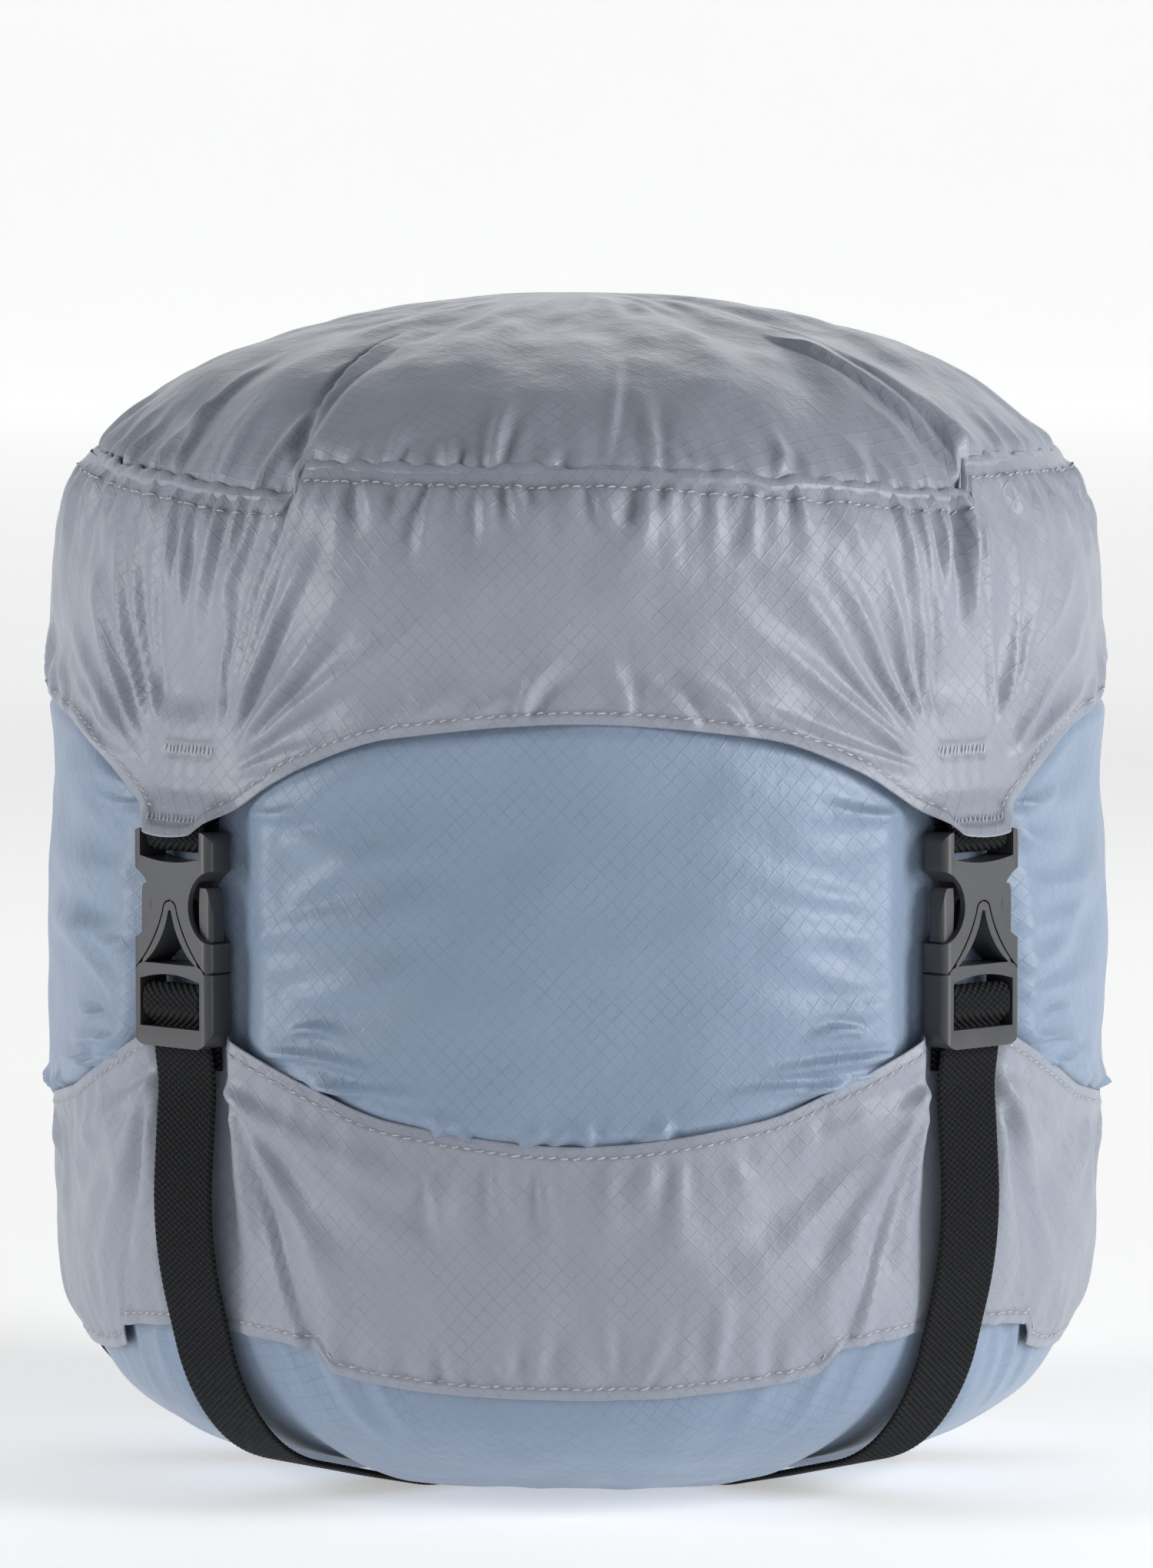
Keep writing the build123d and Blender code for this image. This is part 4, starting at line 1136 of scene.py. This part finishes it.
def make_mouth_hem():
    """The puckered channel round the mouth that the drawcord runs in, closed on itself."""
    count = COLUMNS // 2
    theta = np.arange(count) / count * 2 * math.pi
    turn = np.radians(np.linspace(-95, 265, 21))[:-1, None]
    pleat = 0.35 * np.sin(34 * theta + 1.4 * PUCKER_PHASE(theta, 0.0)) + 0.2 * np.sin(57 * theta + 1.1)
    gap = smooth((np.abs((theta + math.pi) % (2 * math.pi) - math.pi) * CORD_RING_R - 6) / 4)
    fat = 3.3 + pleat - 1.1 * (1 - gap)
    r = CORD_RING_R + 0.3 + fat * np.cos(turn)
    z = CORD_RING_Z - 0.6 + fat * 1.1 * np.sin(turn)
    points = turned(r, z, theta)
    points = np.concatenate([points, points[:1]])
    u = np.broadcast_to(np.arange(count + 1) / count * 155.0, (len(points), count + 1))
    w = np.broadcast_to(np.linspace(0, 22, len(points))[:, None], u.shape)
    hem_tube = grid_object("mouth_channel", points, u, w)
    neck_z = np.linspace(NECK_Z - 0.5, CORD_RING_Z - 3, 16)[:, None]
    gathers = (0.9 + 0.3 * pleat) * np.sin(34 * theta + 1.4 * PUCKER_PHASE(theta, 0.0))
    shape = NECK_R - 1.6 - 0.16 * (neck_z - NECK_Z) + gathers
    neck = grid_object(
        "mouth_neck", turned(shape, neck_z, theta),
        np.broadcast_to(np.arange(count + 1) / count * 165.0, (16, count + 1)),
        np.broadcast_to(np.linspace(0, 9, 16)[:, None], (16, count + 1)),
    )
    finish_piece(neck, "root", SACK_CLOTH, "sack_ripstop")
    finish_piece(hem_tube, "root", SACK_CLOTH, "sack_ripstop", "mouth_hem")


def make_drawcord():
    """The cord round the mouth, its two ends led side by side through the lock and knotted past it."""
    spread_y, bend = 2.4, 5.0
    reach = CORD_RING_R + bend
    bend_x = math.sqrt(reach**2 - (spread_y + bend) ** 2)
    join = math.atan2(spread_y + bend, bend_x)
    end_x = LOCK_X + LOCK_R + 5.0
    turn = np.linspace(join, 2 * math.pi - join, 150)
    ring = np.stack([CORD_RING_R * np.cos(turn), CORD_RING_R * np.sin(turn)], 1)
    lead = np.linspace(end_x, bend_x, 30)
    arc = np.linspace(-math.pi / 2, -math.pi + join, 10)[1:-1]
    curl = np.stack([bend_x + bend * np.cos(arc), spread_y + bend + bend * np.sin(arc)], 1)
    first = np.concatenate([np.stack([lead, 0 * lead + spread_y], 1), curl])
    flat = np.concatenate([first, ring, first[::-1] * [1, -1]])
    path = np.column_stack([flat, np.full(len(flat), CORD_RING_Z)])
    cord = tube_object("drawcord_braid", path, CORD_R - 0.05, 16)
    finish_piece(cord, "root", CORD_BRAID, "drawcord", "drawcord")
    t = np.linspace(0, 2 * math.pi, 90)
    overhand = np.stack([
        end_x + 1.0 + 1.2 * np.sin(3 * t),
        2.6 * np.sin(t) + 1.6 * np.sin(2 * t),
        CORD_RING_Z + 2.6 * np.cos(t) - 1.6 * np.cos(2 * t),
    ], 1)
    finish_piece(tube_object("drawcord_knot", overhand, CORD_R - 0.1, 12), "root", CORD_BRAID, "drawcord")


def make_skirt():
    low, high = edge_height(SKIRT_HEM, THETA)[None, :], edge_height(SKIRT_EDGE, THETA)[None, :]

    # painted shade along the skirt's two hem stitch lines
    def painted_groove_shade(theta, z):
        top = (edge_height(SKIRT_EDGE, theta) - z) * edge_lean(SKIRT_EDGE, theta)
        return stitch_shade_at(top) + stitch_shade_at(z - edge_height(SKIRT_HEM, theta))

    obj = hemmed_band("base_skirt_panel", skirt_place, skirt_height, painted_groove_shade, low, high, 64, True, True)
    return finish_piece(obj, "root", HARNESS_CLOTH, "harness_ripstop", "base_skirt")


def make_lid_side():
    low = edge_height(LID_EDGE, THETA)[None, :]
    high = LID_SEAM_Z + seam_dip(THETA)[None, :] - 0.4

    # painted shade along the lid's hem stitches, its seam stitches and its bartack rows
    def painted_groove_shade(theta, z):
        seam = LID_SEAM_Z + seam_dip(theta)
        sewn = bell(z - 184.4, 0.7) + bell(z - 180.2, 0.6)
        tacks = smooth((9.4 - np.abs(strap_offset(theta))) / 1.2) * sewn
        return stitch_shade_at(lid_edge_distance(theta, z)) + bell(seam - z - SEAM_STITCHES, 0.8) + tacks

    obj = hemmed_band("lid_side_panel", lid_place, lid_height, painted_groove_shade, low, high, 76, True, False)
    return finish_piece(obj, "lid", HARNESS_CLOTH, "harness_ripstop", "lid_side")


def make_lid_top():
    rows = [-3.5, -2.4, -1.2], np.linspace(0, 14, 15)[:-1], np.linspace(14, DOME.length - 0.8, 98)
    v = np.concatenate(rows)
    points = raised(dome_place, dome_height, THETA, v[:, None])
    obj = grid_object("lid_top_panel", points, *disc_uv(DOME.length - v), cap=True)
    return finish_piece(obj, "lid", HARNESS_CLOTH, "harness_ripstop", "lid_top")


def make_lid_seam():
    """The bound seam allowance that stands out where the lid's side meets its top, puckered all round."""
    turn = np.linspace(0, 2 * math.pi, 17)[:-1, None]
    seam = LID_SEAM_Z + seam_dip(THETA)[None, :]
    base = raised(lid_place, lambda t, z: 0 * z, THETA, seam)
    out = radial(base)
    lumps = 1 + 0.2 * Ripple(71, 9)(THETA, 0.0) + 0.16 * np.sin(THETA * 108 + 2 * PUCKER_PHASE(THETA, 0.0))
    tall = 1.7 * np.clip(lumps, 0.65, 1.3)
    thick = 1.05 * np.clip(0.6 + 0.4 * lumps, 0.7, 1.3)
    wander = 0.35 * Ripple(72, 15)(THETA, 0.0)
    shape = np.sign(np.cos(turn)) * np.abs(np.cos(turn)) ** 0.8
    offset_out = 0.75 + thick * shape
    offset_up = -0.9 + wander + tall * np.sin(turn) - 0.45 * np.maximum(shape, 0) * np.sin(turn)
    lean_in = -0.42 * (offset_up + 2) - 2.4 * left_of_tuck(THETA, LID_TUCK_HIGH)[None, :]
    upward = np.stack([0 * offset_up, 0 * offset_up, offset_up], -1)
    points = base + out * (offset_out + lean_in)[..., None] + upward
    points = np.concatenate([points, points[:1]])
    u = np.broadcast_to(np.arange(COLUMNS + 1) / COLUMNS * ROUND_MM, (len(points), COLUMNS + 1))
    w = np.broadcast_to(np.linspace(0, 10, len(points))[:, None], u.shape)
    obj = grid_object("lid_seam_ridge", points, u, w)
    return finish_piece(obj, "lid", HARNESS_CLOTH, "harness_ripstop", "lid_seam")


def make_stitches():
    def hem_line(stations, sign, inset=2.75):
        return lambda t: edge_height(stations, t) + sign * inset / edge_lean(stations, t)

    def beside_strap(theta):
        return np.abs(strap_offset(theta)) > 10.5

    def off_bartack(theta):
        return np.abs(strap_offset(theta)) > 9.6

    def seam_line(theta):
        return LID_SEAM_Z + seam_dip(theta) - SEAM_STITCHES

    lid, skirt = (lid_place, lid_height, "lid"), (skirt_place, skirt_height, "root")
    rows = (
        ("lid_hem_stitches", lid, hem_line(LID_EDGE, 1), 81, off_bartack),
        ("lid_seam_stitches", lid, seam_line, 82, None),
        ("skirt_edge_stitches", skirt, hem_line(SKIRT_EDGE, -1), 83, beside_strap),
        ("skirt_hem_stitches", skirt, hem_line(SKIRT_HEM, 1), 84, beside_strap),
    )
    for name, (place, height, body), line, seed, keep in rows:
        finish_piece(edge_stitches(name, place, height, line, seed, keep=keep), body, THREAD, "thread")
    lid_tacks = bartack_stitches("lid_bartack_stitches", lid_place, lid_height, LID_BARTACKS, 8.6, 3.2)
    finish_piece(lid_tacks, "lid", THREAD, "thread", "lid_bartacks")
    skirt_tacks = bartack_stitches(
        "skirt_bartack_stitches", skirt_place, skirt_height, SKIRT_BARTACKS, 0, 2.6, offsets=BARTACK_ENDS
    )
    finish_piece(skirt_tacks, "root", THREAD, "thread", "skirt_bartacks")


def make_webbing():
    for place, degrees in SPOKES.items():
        angle = math.radians(degrees)
        strap = webbing_object(f"strap_webbing_{place}", angle, *strap_corners(), WEB_THICK)
        strap.data.materials.append(WEBBING)
        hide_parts(f"strap_{place}")
        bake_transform(strap)
        loop = webbing_object(f"loop_webbing_{place}", angle, *loop_corners(), LOOP_THICK)
        finish_piece(loop, "lid", WEBBING, "webbing", f"socket_loop_{place}")
    handle = webbing_object("handle_webbing", 0.0, *handle_corners(), WEB_THICK)
    finish_piece(handle, "root", WEBBING, "webbing", "grab_handle")


def dress_cad_parts():
    """The moulded parts keep their CAD shape, with a fine softened edge."""
    materials = {
        "plug_": PLASTIC, "socket_": PLASTIC, "prong_": PLASTIC,
        "cord_lock_spring": STEEL, "cord_lock_": LOCK_PLASTIC,
    }
    for name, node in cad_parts.items():
        match = [m for start, m in materials.items() if name.startswith(start)]
        if match and not node.hide_render:
            node.data.materials.clear()
            node.data.materials.append(match[0])
            edge = node.modifiers.new("edge", "BEVEL")
            edge.width, edge.segments, edge.angle_limit = 0.25 * MM, 2, math.radians(40)
            edge.harden_normals = True


# ---- light and floor -----------------------------------------------------------------------
def make_floor():
    """A pale floor that sweeps up into a pale backdrop far behind; both glow, more strongly further back.
    """
    near, far, bend, side, top = -9.0, 7.0, 2.0, 9.0, 7.0
    profile = [(near, 0.0), (far, 0.0)]
    for turn in np.linspace(0, math.pi / 2, 14)[1:]:
        profile.append((far + bend * math.sin(turn), bend - bend * math.cos(turn)))
    profile.append((far + bend, top))
    verts = [(x, y, z) for y, z in profile for x in (-side, side)]
    faces = [(2 * i, 2 * i + 1, 2 * i + 3, 2 * i + 2) for i in range(len(profile) - 1)]
    mesh = bpy.data.meshes.new("floor")
    mesh.from_pydata(verts, [], faces)
    mesh.shade_smooth()
    floor = bpy.data.objects.new("floor", mesh)
    bpy.context.scene.collection.objects.link(floor)
    m = Nodes("pale_floor")
    place = m.add("TexCoord", out=3)
    tone = m.span(m.noise(place, 3.0, 3.0), 0.3, 0.7)
    m.set(Base_Color=m.mix(tone, (0.90, 0.90, 0.90, 1), (0.92, 0.92, 0.92, 1)), Roughness=0.9)
    behind = m.add("SeparateXYZ", out=1, Vector=place)
    # painted light: the floor and backdrop glow, more strongly further back
    m.set(Specular_IOR_Level=0.0, Emission_Color=(1, 1, 1, 1))
    m.set(Emission_Strength=m.span(behind, 0.3, 3.0, 0.40, 0.62))
    mesh.materials.append(m.material)


def area_light(name, place, aim, size, power, tint=(1, 1, 1)):
    data = bpy.data.lights.new(name, "AREA")
    data.shape, data.size, data.size_y = "RECTANGLE", size[0], size[1]
    data.energy, data.color = power, tint
    light = bpy.data.objects.new(name, data)
    bpy.context.scene.collection.objects.link(light)
    light.location = place
    light.rotation_euler = (Vector(aim) - Vector(place)).to_track_quat("-Z", "Y").to_euler()


def make_light():
    """A large soft box at the right, a weaker one at the left, and a surround that is dark overhead."""
    area_light("right_box", (1.75, -0.8, 0.62), (0, 0, 0.16), (0.7, 1.3), 35.0)
    area_light("left_box", (-1.8, -0.5, 0.55), (0, 0, 0.16), (0.6, 1.2), 20.0)
    area_light("back_rim", (0.3, 1.5, 1.2), (0, 0, 0.2), (1.6, 0.6), 4.0)
    world = bpy.data.worlds.new("surround")
    bpy.context.scene.world = world
    world.use_nodes = True
    tree = world.node_tree
    place, split = tree.nodes.new("ShaderNodeTexCoord"), tree.nodes.new("ShaderNodeSeparateXYZ")
    ramp, background = tree.nodes.new("ShaderNodeMapRange"), tree.nodes["Background"]
    tree.links.new(place.outputs["Generated"], split.inputs[0])
    tree.links.new(split.outputs[2], ramp.inputs[0])
    for index, value in ((1, 0.05), (2, 0.8), (3, 0.36), (4, 0.045)):
        ramp.inputs[index].default_value = value
    tree.links.new(ramp.outputs[0], background.inputs[1])
    background.inputs[0].default_value = (0.95, 0.97, 1.0, 1.0)
    bpy.context.scene.view_settings.view_transform = "Standard"


make_camera()
make_base()
make_wall()
make_gathered_top()
make_mouth_hem()
make_drawcord()
make_skirt()
make_lid_side()
make_lid_top()
make_lid_seam()
make_stitches()
make_webbing()
dress_cad_parts()
make_floor()
make_light()
